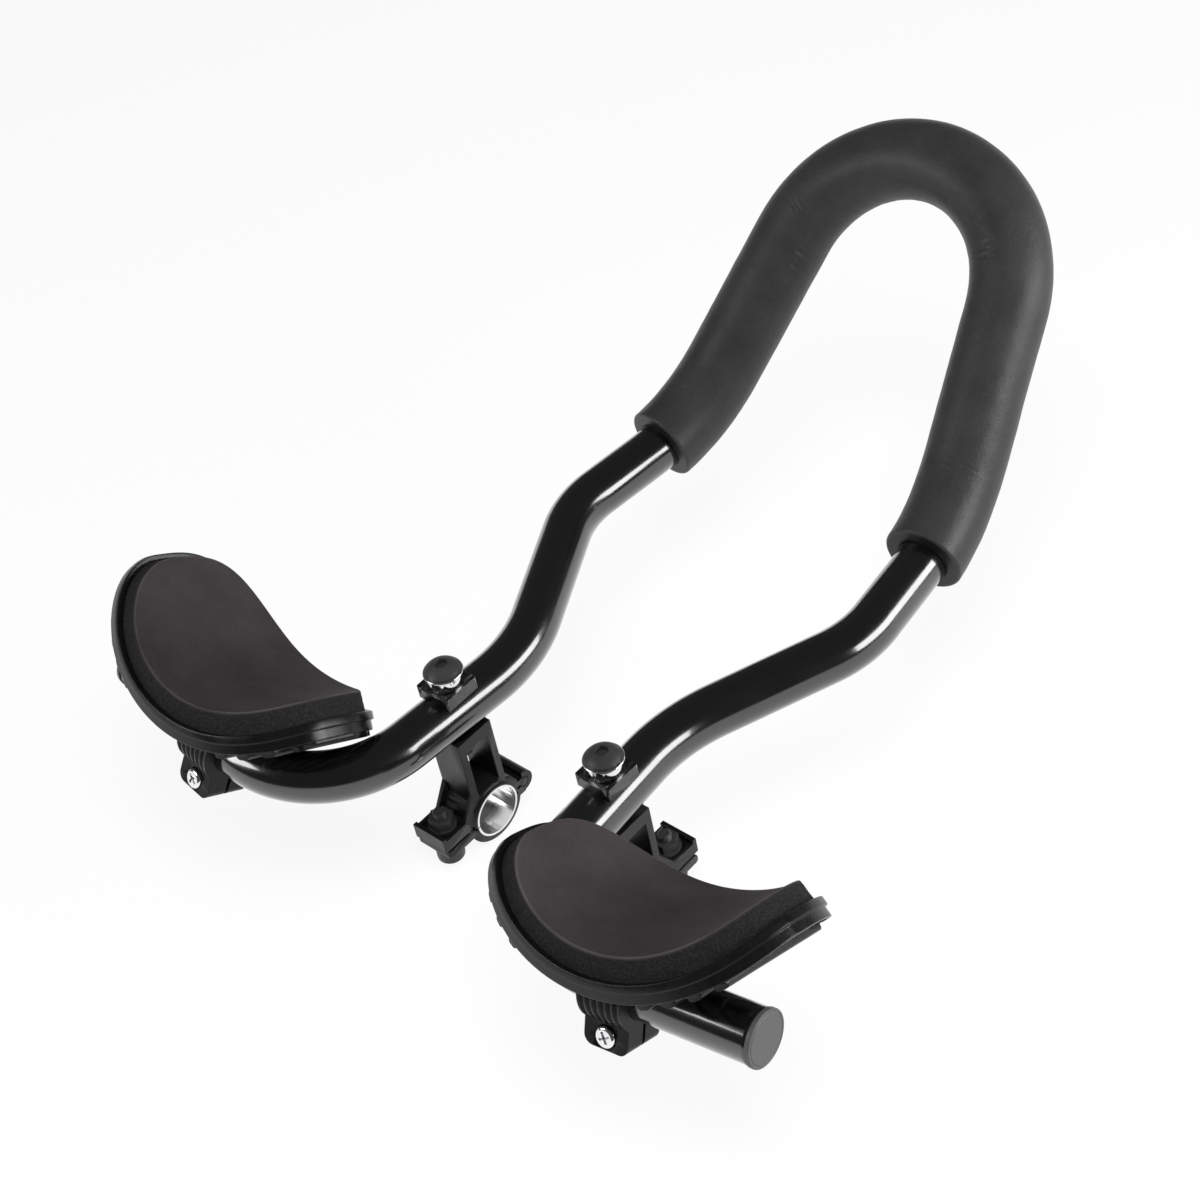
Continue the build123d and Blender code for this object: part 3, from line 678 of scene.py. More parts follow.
@dataclass(frozen=True)
class PadFoam(Finish):
    """Pad foam: a smooth warm top and rough open-celled sides, told apart by the mesh's own mask."""

    pale: Colour = (0.1, 0.09, 0.085)
    side: Colour = (0.03, 0.029, 0.028)
    side_pale: Colour = (0.09, 0.088, 0.086)
    # Painted highlight: the lighter colour of the line along the pad's rounded top edge, standing in for the
    # light that the edge catches.
    rim: Colour = (0.1, 0.094, 0.092)
    cloud_scale: float = 22.0
    cloud_share: float = 0.75
    fine_scale: float = 1500.0
    fine_share: float = 0.25
    fine_range: tuple[float, float] = (0.2, 0.8)
    coarse_scale: float = 1150.0
    grit_range: tuple[float, float] = (0.45, 1.25)
    highlight_range: tuple[float, float] = (0.1, 0.75)
    side_roughness: float = 0.9
    top_relief: float = 0.12
    depth: float = 0.22
    relief_share: float = 0.8

    def dress(self, graph: Graph, shader: Node) -> None:
        """Mixes top and side colours with a painted highlight along the top edge, and a coarser relief on the
        sides.

        Args:
            graph: The material's graph.
            shader: Its Principled shader.
        """
        flank = graph.add("Attribute", attribute_name="flank").outputs["Fac"]
        edge = graph.add("Attribute", attribute_name="edge").outputs["Fac"]
        cloud = EFFECTS.place(graph, EffectKind.MOTTLE, Scale=self.cloud_scale, Detail=6.0)
        fine = EFFECTS.place(graph, EffectKind.PEBBLE, Scale=self.fine_scale, Break=1.2)
        coarse = EFFECTS.place(graph, EffectKind.PEBBLE, Scale=self.coarse_scale, Break=1.6)
        broad = graph.math("MULTIPLY", cloud.outputs["Value"], self.cloud_share)
        small = graph.remap(fine.outputs["Cells"], *self.fine_range, 0, self.fine_share)
        tone = graph.math("ADD", broad, small)
        top = graph.mix(tone, self.colour, self.pale)
        grit = graph.remap(coarse.outputs["Height"], *self.grit_range, 0.0, 1.0)
        sides = graph.mix(grit, self.side, self.side_pale)
        body = graph.mix(flank, top, sides)
        # Painted highlight: a lighter line along the rounded top edge, broken up by the soft patches.
        uneven = graph.remap(cloud.outputs["Value"], 0, 1, *self.highlight_range)
        highlight_band = graph.math("MULTIPLY", edge, uneven)
        graph.feed(graph.mix(highlight_band, body, self.rim), shader, "Base Color")
        graph.feed(graph.remap(flank, 0, 1, self.roughness, self.side_roughness), shader, "Roughness")
        fading = graph.remap(flank, 0, 1, self.top_relief, 0.0)
        gentle = graph.math("MULTIPLY", fine.outputs["Height"], fading)
        strong = graph.math("MULTIPLY", coarse.outputs["Height"], flank)
        self.relief(graph, shader, graph.math("ADD", gentle, strong), self.depth, self.relief_share)


@dataclass(frozen=True)
class Moulding(Finish):
    """Satin moulded plastic or cast metal under satin paint: grain, patches and dust specks."""

    pale: Colour = (0.05, 0.05, 0.05)
    grain: float = 1800.0
    depth: float = 0.04
    relief_share: float = 0.5
    patch_scale: float = 70.0
    patch_share: float = 0.6
    speck_scale: float = 500.0
    speck_size: float = 0.1
    speck_share: float = 0.5
    dust_gain: float = 2.2
    dust_lift: float = 0.02
    gloss_range: tuple[float, float] = (-0.07, 0.08)

    def dress(self, graph: Graph, shader: Node) -> None:
        """Soft two-tone, specks, grain relief and uneven roughness.

        Args:
            graph: The material's graph.
            shader: Its Principled shader.
        """
        patch = EFFECTS.place(graph, EffectKind.MOTTLE, Scale=self.patch_scale)
        specks = EFFECTS.place(graph, EffectKind.SPECKS, Scale=self.speck_scale, Size=self.speck_size)
        grain = EFFECTS.place(graph, EffectKind.PEBBLE, Scale=self.grain, Break=1.0)
        tone = graph.math("MULTIPLY", patch.outputs["Value"], self.patch_share)
        base = graph.mix(tone, self.colour, self.pale)
        dusty = tuple(min(1.0, self.dust_gain * c + self.dust_lift) for c in self.pale)
        dust = graph.math("MULTIPLY", specks.outputs["Mask"], self.speck_share)
        graph.feed(graph.mix(dust, base, dusty), shader, "Base Color")
        glossy, dull = (self.roughness + change for change in self.gloss_range)
        rough = graph.remap(patch.outputs["Value"], 0, 1, glossy, dull)
        graph.feed(rough, shader, "Roughness")
        self.relief(graph, shader, grain.outputs["Height"], self.depth, self.relief_share)


@dataclass(frozen=True)
class BrightMetal(Finish):
    """Bare metal with brushed or turned streaks."""

    dark: Colour = (0.3, 0.3, 0.3)
    streak: float = 2500.0
    along: float = 0.03
    across: float = 1.0
    streak_share: float = 0.6
    patch_scale: float = 120.0
    patch_share: float = 0.4
    depth: float = 0.01
    relief_share: float = 0.5
    gloss_range: tuple[float, float] = (0.7, 1.4)

    def dress(self, graph: Graph, shader: Node) -> None:
        """Streaked colour, roughness and relief.

        Args:
            graph: The material's graph.
            shader: Its Principled shader.
        """
        shape = {"Scale": self.streak, "Along": self.along, "Across": self.across}
        lines = EFFECTS.place(graph, EffectKind.STREAKS, **shape)
        patch = EFFECTS.place(graph, EffectKind.MOTTLE, Scale=self.patch_scale)
        streaky = graph.math("MULTIPLY", lines.outputs["Value"], self.streak_share)
        patchy = graph.math("MULTIPLY", patch.outputs["Value"], self.patch_share)
        tone = graph.math("ADD", streaky, patchy)
        graph.feed(graph.mix(tone, self.dark, self.colour), shader, "Base Color")
        glossy, dull = (self.roughness * share for share in self.gloss_range)
        rough = graph.remap(lines.outputs["Value"], 0, 1, glossy, dull)
        graph.feed(rough, shader, "Roughness")
        self.relief(graph, shader, lines.outputs["Value"], self.depth, self.relief_share)


BAR_ENAMEL = Enamel("bar_enamel", (0.003, 0.003, 0.0032), 0.2, specular=0.8, coat=1.0)
GRIP_SKIN = FoamSkin(
    "grip_skin", (0.023, 0.0222, 0.023), 0.44, specular=0.28, pale=(0.041, 0.0398, 0.041)
)
PAD_FOAM = PadFoam(
    "pad_foam", (0.021, 0.0174, 0.0184), 0.72, specular=0.25,
    pale=(0.05, 0.0424, 0.0444), side=(0.011, 0.0104, 0.0106), side_pale=(0.032, 0.03, 0.0305),
)
CRADLE_PLASTIC = Moulding(
    "cradle_plastic", (0.004, 0.004, 0.0042), 0.27, specular=0.35, edge_radius=0.45,
    pale=(0.008, 0.008, 0.0082),
)
JAW_PLASTIC = Moulding(
    "jaw_plastic", (0.003, 0.003, 0.0031), 0.36, specular=0.2, edge_radius=0.45,
    pale=(0.006, 0.006, 0.0062),
)
RISER_PAINT = Moulding(
    "riser_paint", (0.005, 0.0049, 0.0052), 0.33, specular=0.32, edge_radius=0.45,
    pale=(0.011, 0.0107, 0.0112), depth=0.05,
)
CAP_PLASTIC = Moulding("cap_plastic", (0.064, 0.064, 0.064), 0.45, pale=(0.086, 0.086, 0.086))
BOLT_OXIDE = Moulding(
    "bolt_oxide", (0.026, 0.026, 0.0266), 0.48, specular=0.4, edge_radius=0.3,
    pale=(0.046, 0.046, 0.0472), depth=0.02,
)
PLATE_STEEL = BrightMetal(
    "plate_steel", (0.15, 0.15, 0.15), 0.3, metallic=1.0, edge_radius=0.35, dark=(0.06, 0.06, 0.06)
)
TURNED_ALLOY = BrightMetal(
    "turned_alloy", (0.93, 0.93, 0.93), 0.2, metallic=1.0, dark=(0.8, 0.8, 0.81),
    streak=700.0, along=1.0, across=0.01, depth=0.0008,
)
CHROME = BrightMetal(
    "chrome_plate", (0.93, 0.93, 0.94), 0.1, metallic=1.0, dark=(0.8, 0.8, 0.82),
    streak=600.0, along=0.4, depth=0.0005,
)


def adopt(piece: Piece, body: str, finish: Finish, slot: Slot, *nodes: str) -> Piece:
    """Dresses a new piece, sets it on a body and lets it stand for the nodes it replaces.

    Args:
        piece: The new object, in place.
        body: Body that it moves with.
        finish: Its finish.
        slot: Record slot that it belongs to; not used.
        nodes: Solids that it stands for.

    Returns:
        The piece.
    """
    piece.data.materials.clear()
    piece.data.materials.append(finish.material())
    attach(piece, body)
    if nodes:
        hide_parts(*nodes)
    log.info("%s: %d faces, %s", piece.name, len(piece.data.polygons), finish.name)
    return piece


def dress_node(node: str, finish: Finish) -> None:
    """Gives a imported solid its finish.

    Args:
        node: Name of the solid.
        finish: Its finish.
    """
    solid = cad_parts[node]
    solid.data.materials.clear()
    solid.data.materials.append(finish.material())
    log.info("%s: solid kept, %s", node, finish.name)


def joined_copy(node: str, body: str, finish: Finish, slot: Slot) -> Piece:
    """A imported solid's shape with its loose triangles joined, so that its rounded faces shade smoothly.

    Edges sharper than the crisp angle stay sharp, and flat faces keep their own normals next to fillets.

    Args:
        node: The solid that is copied and replaced.
        body: Body that the copy moves with.
        finish: Its finish.
        slot: Record slot that it belongs to.

    Returns:
        The copy.
    """
    piece = weld(f"{node}_joined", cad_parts[node].data.copy())
    piece.data.polygons.foreach_set("use_smooth", np.ones(len(piece.data.polygons), dtype=bool))
    crisp(piece, JOINED_CRISP_ANGLE)
    flat = piece.modifiers.new("flat_faces", "WEIGHTED_NORMAL")
    flat.keep_sharp = True
    return adopt(piece, body, finish, slot, node)


@dataclass
class ExtensionBar:
    """The bent tube, from the right tip round the front to the left tip."""

    radius: float = 11.1
    wall: float = 2.0
    rise: float = 58.0
    front: tuple[float, float, float] = (50.3, 295.6, 106.8)
    knee: tuple[float, float, float] = (71.1, 189.5, 7.1)
    shoulder: tuple[float, float, float] = (79.3, 116.7, 5.6)
    waist: tuple[float, float, float] = (41.7, 40.5, 0.0)
    sweep: tuple[float, float, float] = (50.3, -76.9, 0.0)
    tip: tuple[float, float, float] = (172.8, -62.4, 10.4)
    knee_radius: float = 80.8
    shoulder_radius: float = 47.7
    waist_radius: float = 73.9
    sweep_radius: float = 49.0
    station: float = 1.6
    columns: int = 64
    path: BentPath = field(init=False)
    up: Array = field(init=False)

    def __post_init__(self) -> None:
        """Works out the path and a direction that it never runs along."""
        half = np.array([self.tip, self.sweep, self.waist, self.shoulder, self.knee, self.front])
        half = half + [0, 0, self.rise]
        other = half[::-1] * [-1, 1, 1]
        leg = unit(half[-2] - half[-1])
        front_turn = np.arccos(leg[0])
        front_radius = self.front[0] / np.tan(front_turn / 2)
        radii = [self.sweep_radius, self.waist_radius, self.shoulder_radius, self.knee_radius, front_radius]
        self.path = BentPath(np.vstack([half, other]), radii + radii[::-1])
        self.up = unit(np.cross(leg * [0, 1, 1], [1.0, 0, 0]))

    @property
    def end_run(self) -> Array:
        """Heading of the right end run, outwards."""
        return unit(np.array(self.tip) - np.array(self.sweep))

    @property
    def tip_place(self) -> Array:
        """Middle of the tube's right tip."""
        return np.array(self.tip) + [0, 0, self.rise]

    @property
    def riser_x(self) -> float:
        """Where the clamped run passes over the handlebar's axis."""
        share = self.waist[1] / (self.waist[1] - self.sweep[1])
        return self.waist[0] + (self.sweep[0] - self.waist[0]) * share

    def build(self) -> Piece:
        """The tube: outer wall, end faces and bore as one closed profile carried along the path.

        Returns:
            The tube.
        """
        count = int(self.path.length / self.station)
        along = np.linspace(0, self.path.length, count)
        bore = self.radius - self.wall
        s = np.concatenate([along, along[::-1]])
        r = np.concatenate([np.full(count, self.radius), np.full(count, bore)])
        points = self.path.sleeve(s, r, round_angles(self.columns), self.up)
        tube = grid_object("extension_bar_tube", points, close_rows=True)
        return adopt(tube, Body.FRAME.value, BAR_ENAMEL, Slot.BAR, "extension_bar")


@dataclass(frozen=True)
class CreasePatch:
    """A patch of short furrows in the grip's skin: where it is, how it lies and how deep it is.

    Lengths are in millimetres. The angle that it faces and its reach round the sleeve are in radians, and
    its lean is how far a furrow moves along the sleeve for each radian round it.
    """

    at: float
    facing: float
    count: int
    spread: float
    reach: float
    depth: float
    lean: float = 1.0
    width: float = 0.6


@dataclass
class FoamGrip:
    """The thick sleeve over the front bend, with creases where it is bent."""

    bar: ExtensionBar
    diameter: float = 35.6
    knee_angle: float = 34.0
    edge: float = 1.3
    seat: float = 0.05
    station: float = 0.62
    columns: int = 120
    edge_rows: int = 9
    face_rows: int = 4
    bore_rows: int = 80
    knee_bend: int = 3
    skin_from: float = 1.0
    skin_to: float = 0.5
    width_range: tuple[float, float] = (0.75, 1.3)
    reach_range: tuple[float, float] = (0.6, 1.3)
    lean_range: tuple[float, float] = (0.6, 1.4)
    depth_range: tuple[float, float] = (0.5, 1.0)
    facing_spread: float = 0.6
    wobble: float = 0.5
    wobble_waves: int = 6
    swell: float = 0.35
    swell_width: float = 2.6
    mask_margin: float = 2.0
    mask_reach: float = 1.6
    cut_from: float = 1.4
    cut_to: float = 0.5
    sink: float = 0.15
    sway: float = 0.06
    sway_pitch: float = 26.0
    ripple: float = 0.021
    ripple_pitch: float = 7.0
    seed: int = 17
    patches: tuple[CreasePatch, ...] = (
        CreasePatch(at=17, facing=1.7, count=5, spread=6, reach=0.4, depth=0.1),
        CreasePatch(at=39, facing=1.3, count=14, spread=17, reach=0.35, depth=0.16),
        CreasePatch(at=101, facing=2.3, count=5, spread=10, reach=0.2, depth=0.1),
        CreasePatch(at=137, facing=1.7, count=7, spread=6, reach=0.2, depth=0.26, lean=2.0),
        CreasePatch(at=140, facing=1.0, count=2, spread=4, reach=0.4, depth=0.5, width=6.0),
        CreasePatch(at=228, facing=2.5, count=10, spread=20, reach=0.22, depth=0.14),
        CreasePatch(at=267, facing=1.8, count=6, spread=4, reach=0.17, depth=0.45, lean=7.0),
        CreasePatch(at=282, facing=2.6, count=10, spread=9, reach=0.28, depth=0.25, lean=4.0),
        CreasePatch(at=292, facing=2.3, count=7, spread=8, reach=0.25, depth=0.2, lean=3.0),
        CreasePatch(at=368, facing=1.8, count=3, spread=4, reach=0.22, depth=0.5, lean=-9.0),
    )

    def creases(self, s: Array, angles: Array) -> tuple[Array, Array]:
        """Depth of the skin's creases, and a mask of the patches that hold them.

        Each furrow is a narrow bell across, a broader bell round the sleeve, and wanders a little with the
        angle. A shallow swell on both sides of it makes up for what it takes away.

        Args:
            s: Distance of each station from the sleeve's start.
            angles: Angles round the sleeve.

        Returns:
            Depth in millimetres and mask from zero to one, at each station and angle.
        """
        rng = np.random.default_rng(self.seed)
        depth, mask = np.zeros((2, len(s), len(angles)))
        for patch in self.patches:
            places = patch.at + patch.spread * rng.uniform(-1, 1, patch.count)
            widths = patch.width * rng.uniform(*self.width_range, patch.count)
            turns = patch.facing + rng.normal(0, self.facing_spread * patch.reach, patch.count)
            reach = patch.reach * rng.uniform(*self.reach_range, patch.count)
            lean = patch.lean * rng.uniform(*self.lean_range, patch.count)
            strength = patch.depth * rng.uniform(*self.depth_range, patch.count)
            around = np.angle(np.exp(1j * (angles[None, :] - turns[:, None])))
            wobble = self.wobble * np.sin(self.wobble_waves * around + places[:, None])
            wander = lean[:, None] * around + wobble
            bell = strength[:, None] * np.exp(-((around / reach[:, None]) ** 2))
            gap = s[:, None, None] - places[None, :, None] - wander[None]
            across = gap / widths[None, :, None]
            furrow = np.exp(-(across**2)) - self.swell * np.exp(-((across / self.swell_width) ** 2))
            depth += (furrow * bell[None]).sum(axis=1)
            turn = np.angle(np.exp(1j * (angles - patch.facing)))
            near = np.exp(-(((s - patch.at) / (patch.spread + self.mask_margin)) ** 2))
            mask += near[:, None] * np.exp(-((turn / (self.mask_reach * patch.reach)) ** 2))
        return depth, np.clip(mask, 0, 1)

    def build(self) -> Piece:
        """The sleeve: skin, rounded ends and bore as one closed profile carried along the bar's path.

        Returns:
            The sleeve.
        """
        path, knee = self.bar.path, self.knee_bend
        turn = path.bend_turns[knee] - np.radians(self.knee_angle)
        start = path.bend_starts[knee] + path.bend_radii[knee] * turn
        finish = path.length - start
        outer, bore = self.diameter / 2, self.bar.radius + self.seat
        rise, fall = corner_arc(self.edge, self.edge_rows)
        count = int((finish - start - 2 * self.edge) / self.station)
        skin = np.linspace(start + self.edge, finish - self.edge, count)[1:-1]
        inside = np.linspace(finish, start, self.bore_rows + 2)[1:-1]
        face = np.linspace(bore, outer - self.edge, self.face_rows + 1)[:-1]
        s = np.concatenate([np.full(len(face), start), start + fall, skin, finish - rise,
                            np.full(len(face), finish), inside])
        r = np.concatenate([face, outer - rise, np.full(len(skin), outer), outer - fall, face[::-1],
                            np.full(len(inside), bore)])
        angles = round_angles(self.columns)
        radius = np.repeat(r[:, None], self.columns, axis=1)
        on_skin = smooth_step(bore + self.skin_from, outer - self.skin_to, radius)
        circle = outer * np.cos(angles), outer * np.sin(angles)
        around = np.stack(np.broadcast_arrays(s[:, None], *circle), axis=-1)
        sway = self.sway * waves(around, self.sway_pitch, self.seed)
        sway = sway + self.ripple * waves(around, self.ripple_pitch, self.seed + 1)
        depth, wrinkle = self.creases(s - start, angles)
        ends = 1 - smooth_step(outer - self.cut_from * self.edge, outer - self.cut_to * self.edge, radius)
        radius = radius - on_skin * (depth + self.sink - sway)
        sleeve = grid_object("foam_grip_sleeve", path.sleeve(s, radius, angles, self.bar.up), close_rows=True,
                             attributes={"wrinkle": wrinkle, "cut": ends})
        adopt(sleeve, Body.FRAME.value, GRIP_SKIN, Slot.GRIP, "foam_grip")
        return sleeve


@dataclass
class ArmRest:
    """One arm rest: cradle, pad, jaws, screw and nut, in the axes of the bar's end run."""

    side: Side
    bar: ExtensionBar
    tilt: float
    bend_gap: float = 2.0
    jaw_width: float = 20.0
    trough_radius: float = 69.7
    trough_offset: float = 3.0
    trough_cant: float = 3.8
    shell_stand: float = 2.7
    shell_thickness: float = 3.0
    half_arc: float = 58.6
    front: float = 42.6
    rear: float = 32.4
    front_squareness: float = 3.0
    rear_squareness: float = 2.06
    thickness: float = 10.6
    flare: float = 0.5
    edge: float = 0.9
    rim_gap: float = 0.6
    rim_wall: float = 2.4
    rim_height: float = 1.2
    rim_drop: float = 2.2
    skirt_wall: float = 1.3
    skirt_drop: float = 3.4
    rim_edge: float = 0.4
    rim_rows: int = 5
    rim_cover: float = 0.1
    tray_grow: float = 1.2
    foot_edge: float = 0.4
    grit: float = 0.05
    grit_pitch: float = 2.2
    lump: float = 0.04
    lump_pitch: float = 5.5
    swell: float = 0.16
    swell_pitch: float = 30.0
    # Middle row and width, in rows, of the painted highlight band along the pad's rounded top edge.
    highlight_row: float = 2.5
    highlight_rows: float = 1.8
    flank_from: float = 0.4
    flank_to: float = 1.6
    top_rows: int = 46
    edge_rows: int = 6
    flank_rows: int = 26
    foot_rows: int = 12
    grit_waves: int = 40
    seed: int = 5
    screw_drop: float = 18.5
    screw_seat: float = 8.2
    screw_radius: float = 2.5
    screw_length: float = 19.2
    head_radius: float = 4.4
    head_height: float = 3.0
    head_edge: float = 1.3
    head_rows: int = 8
    cross_length: float = 5.0
    cross_width: float = 1.2
    cross_depth: float = 1.6
    cross_taper: float = 0.8
    cross_lead: float = 0.1
    cross_flare: float = 1.03
    cross_turn: float = 0.5
    columns: int = 420

    @property
    def axes(self) -> Array:
        """The arm rest's three axes as rows: the end run turned about itself by the tilt."""
        along = self.bar.end_run
        up = unit(np.array([0, 0, 1.0]) - along * along[2])
        a = np.radians(self.tilt)
        turn = np.array([[1, 0, 0], [0, np.cos(a), -np.sin(a)], [0, np.sin(a), np.cos(a)]])
        return turn.T @ np.stack([along, np.cross(up, along), up])

    @property
    def seat(self) -> Array:
        """Middle of the jaws on the bar's right end run."""
        reach = self.bar.path.bend_starts[0] - self.bend_gap - self.jaw_width / 2
        return self.bar.tip_place - self.bar.end_run * reach

    @property
    def trough_axis(self) -> float:
        """Height of the trough's axis over the bar's."""
        return self.bar.radius + self.shell_stand + self.trough_radius + self.thickness + self.shell_thickness

    def place(self, points: Array) -> Array:
        """From the arm rest's axes to the row frame: turned, moved to the run, mirrored on the left."""
        return (points @ self.axes + self.seat) * [self.side.value, 1, 1]

    def unplace(self, points: Array) -> Array:
        """From the row frame to the arm rest's axes."""
        return (points * [self.side.value, 1, 1] - self.seat) @ self.axes.T

    def outline(self, share: Array, grow: Array, depth: Array) -> Array:
        """Places on the pad: an egg-shaped outline wrapped on the trough.

        Round the outline the angle across is |cos t|^(2/n) and the length along is |sin t|^(2/n), with one n
        for the front and one for the rear. Share scales it towards the middle, grow pushes it out, and depth
        takes it away from the trough's axis.

        Args:
            share: Share of the outline for each row, from 0 at the middle to 1.
            grow: Outward offset of each row, in millimetres.
            depth: Depth of each row under the pad's top, in millimetres.

        Returns:
            Grid of places in the arm rest's axes, rows by columns by 3.
        """
        t = round_angles(self.columns)
        ahead = np.sin(t) > 0
        power = 2 / np.where(ahead, self.front_squareness, self.rear_squareness)
        across = np.sign(np.cos(t)) * np.abs(np.cos(t)) ** power
        along = np.sign(np.sin(t)) * np.abs(np.sin(t)) ** power
        foot = self.trough_radius + self.thickness
        angle = share[:, None] * (self.half_arc / self.trough_radius + grow[:, None] / foot) * across
        length = share[:, None] * (np.where(ahead, self.front, self.rear) + grow[:, None]) * along
        radius = self.trough_radius + depth[:, None]
        angle = angle + np.radians(self.trough_cant)
        x = self.trough_offset + radius * np.sin(angle)
        z = self.trough_axis - radius * np.cos(angle)
        return np.stack(np.broadcast_arrays(x, length, z), axis=-1)

    def pad(self) -> Piece:
        """The foam pad: top, rounded edge, flank and foot as rows out from the middle and back.

        Returns:
            The pad.
        """
        rise, fall = corner_arc(self.edge, self.edge_rows)
        top = np.sin(quarter(self.top_rows))
        flank = np.linspace(self.edge, self.thickness - self.foot_edge, self.flank_rows)
        foot = np.linspace(1, 0, self.foot_rows)
        share = np.concatenate([top, np.ones(len(rise) + len(flank)), foot])
        grow = np.concatenate([np.full(len(top), -self.edge), -rise, self.flare * flank / self.thickness,
                               np.full(len(foot), self.flare - self.foot_edge)])
        depth = np.concatenate([np.zeros(len(top)), fall, flank, np.full(len(foot), self.thickness)])
        rows = self.outline(share, grow, depth)
        on_flank = ((depth > self.edge) & (depth < self.thickness))[:, None]
        outward = self.outline(share, grow + 1.0, depth) - rows
        grit = self.grit * waves(rows, self.grit_pitch, self.seed, self.grit_waves)
        grit = grit + self.lump * waves(rows, self.lump_pitch, self.seed + 1)
        rows = rows + outward * (grit * on_flank)[..., None]
        crown = (4 * share * (1 - share) * (depth == 0))[:, None]
        rows[..., 2] += self.swell * waves(rows[..., :2], self.swell_pitch, self.seed + 3) * crown
        # Mask of the painted highlight: a band of rows along the rounded top edge.
        highlight_band = (np.arange(len(depth)) - len(top) - self.highlight_row) / self.highlight_rows
        masks = {"flank": smooth_step(self.flank_from, self.flank_to, depth), "edge": np.exp(-(highlight_band**2))}
        spread = {label: np.repeat(values[:, None], self.columns, axis=1) for label, values in masks.items()}
        piece = grid_object(f"{self.side.word}_arm_pad_foam", self.place(rows), attributes=spread)
        adopt(piece, self.side.arm_body, PAD_FOAM, Slot.PAD, f"{self.side.word}_arm_pad")
        return piece

    def rim(self) -> Piece:
        """The cradle's rim and skirt: a rounded six-cornered profile carried round the outline.

        Each corner's arc is centre + edge * (enter * sin t - leave * cos t), from its headings in and out.
        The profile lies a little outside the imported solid, whose wall it covers.

        Returns:
            The rim.
        """
        inner = self.rim_gap - self.rim_cover / 2
        outer = self.rim_gap + self.rim_wall + self.rim_cover
        skirt = self.rim_gap + self.skirt_wall + self.rim_cover
        top = self.thickness - self.rim_height - self.rim_cover
        step = self.thickness + self.rim_drop + self.rim_cover
        low = self.thickness + self.shell_thickness + self.skirt_drop + self.rim_cover
        grows = [inner, outer, outer, skirt, skirt, inner]
        corner = np.stack([grows, [top, top, step, step, low, low]], axis=-1)
        enter = unit(corner - np.roll(corner, 1, axis=0))
        leave = np.roll(enter, -1, axis=0)
        t = quarter(self.rim_rows)[None, :, None]
        centre = corner + self.rim_edge * (leave - enter)
        profile = centre[:, None] + self.rim_edge * (enter[:, None] * np.sin(t) - leave[:, None] * np.cos(t))
        grow, depth = profile.reshape(-1, 2).T
        rows = self.outline(np.ones(len(grow)), grow, depth)
        piece = grid_object(f"{self.side.word}_cradle_rim", self.place(rows), close_rows=True)
        return adopt(piece, self.side.arm_body, CRADLE_PLASTIC, Slot.MOULDING)

    def tray(self) -> Piece:
        """The cradle's floor, ribs and pedestal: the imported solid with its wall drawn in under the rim.

        With u and v the angle and length as shares of the outline grown by tray_grow, a place where
        (|u|^n + |v|^n)^(1/n) is over one is brought back to one.

        Returns:
            The tray.
        """
        piece = joined_copy(f"{self.side.word}_arm_cradle", self.side.arm_body, CRADLE_PLASTIC, Slot.MOULDING)
        flat = np.empty(len(piece.data.vertices) * 3, dtype=np.float32)
        piece.data.vertices.foreach_get("co", flat)
        x, y, z = self.unplace(flat.reshape(-1, 3).astype(float) / MM).T
        cant = np.radians(self.trough_cant)
        angle = np.arctan2(x - self.trough_offset, self.trough_axis - z) - cant
        radius = np.hypot(x - self.trough_offset, self.trough_axis - z)
        ahead = y > 0
        power = np.where(ahead, self.front_squareness, self.rear_squareness)
        widest = self.half_arc / self.trough_radius + self.tray_grow / (self.trough_radius + self.thickness)
        longest = np.where(ahead, self.front, self.rear) + self.tray_grow
        reach = (np.abs(angle / widest) ** power + np.abs(y / longest) ** power) ** (1 / power)
        back = 1 / np.maximum(reach, 1)
        angle = angle * back + cant
        x, z = self.trough_offset + radius * np.sin(angle), self.trough_axis - radius * np.cos(angle)
        drawn = np.stack([x, y * back, z], axis=-1)
        piece.data.vertices.foreach_set("co", (self.place(drawn) * MM).astype(np.float32).ravel())
        piece.data.update()
        return piece

    def screw(self) -> Piece:
        """The pan-head screw: cross recess, domed head and shank as rows out from the middle.

        The recess is a plus sign in polar form: at each angle the farther of two bars' edges.

        Returns:
            The screw.
        """
        a = round_angles(TURNED_COLUMNS)
        c, s = np.maximum(np.abs([np.cos(a), np.sin(a)]), TINY)
        half_l, half_w = self.cross_length / 2, self.cross_width / 2
        cross = np.maximum(np.minimum(half_l / c, half_w / s), np.minimum(half_l / s, half_w / c))
        rise, fall = corner_arc(self.head_edge, self.head_rows)
        level, floor = self.head_height, self.head_height - self.cross_depth
        rows = [(0, floor), (self.cross_taper * cross, floor), (cross, level - self.cross_lead)]
        rows += [(cross * self.cross_flare, level), *zip(self.head_radius - rise, level - fall)]
        rows += [(self.head_radius, 0), (self.screw_radius, 0)]
        rows += [(self.screw_radius, -self.screw_length), (0, -self.screw_length)]
        radius, height = profile_rows(rows, len(a))
        turn = a + self.cross_turn
        points = np.stack([radius * np.cos(turn), -self.screw_seat - height,
                           radius * np.sin(turn) - self.screw_drop], axis=-1)
        piece = grid_object(f"{self.side.word}_jaw_screw_turned", self.place(points))
        crisp(piece)
        return adopt(piece, self.side.arm_body, CHROME, Slot.CHROME, f"{self.side.word}_jaw_screw")

    def build(self) -> None:
        """The pad, rim and screw, the moulded pieces and the nut."""
        self.pad()
        self.rim()
        self.tray()
        self.screw()
        for label in ("rear_jaw", "front_jaw"):
            joined_copy(f"{self.side.word}_{label}", self.side.arm_body, JAW_PLASTIC, Slot.MOULDING)
        dress_node(f"{self.side.word}_jaw_nut", PLATE_STEEL)


def crisp(piece: Piece, degrees: float = CRISP_ANGLE) -> None:
    """Keeps edges sharper than the angle crisp in the shading."""
    piece.data.set_sharp_from_angle(angle=np.radians(degrees))


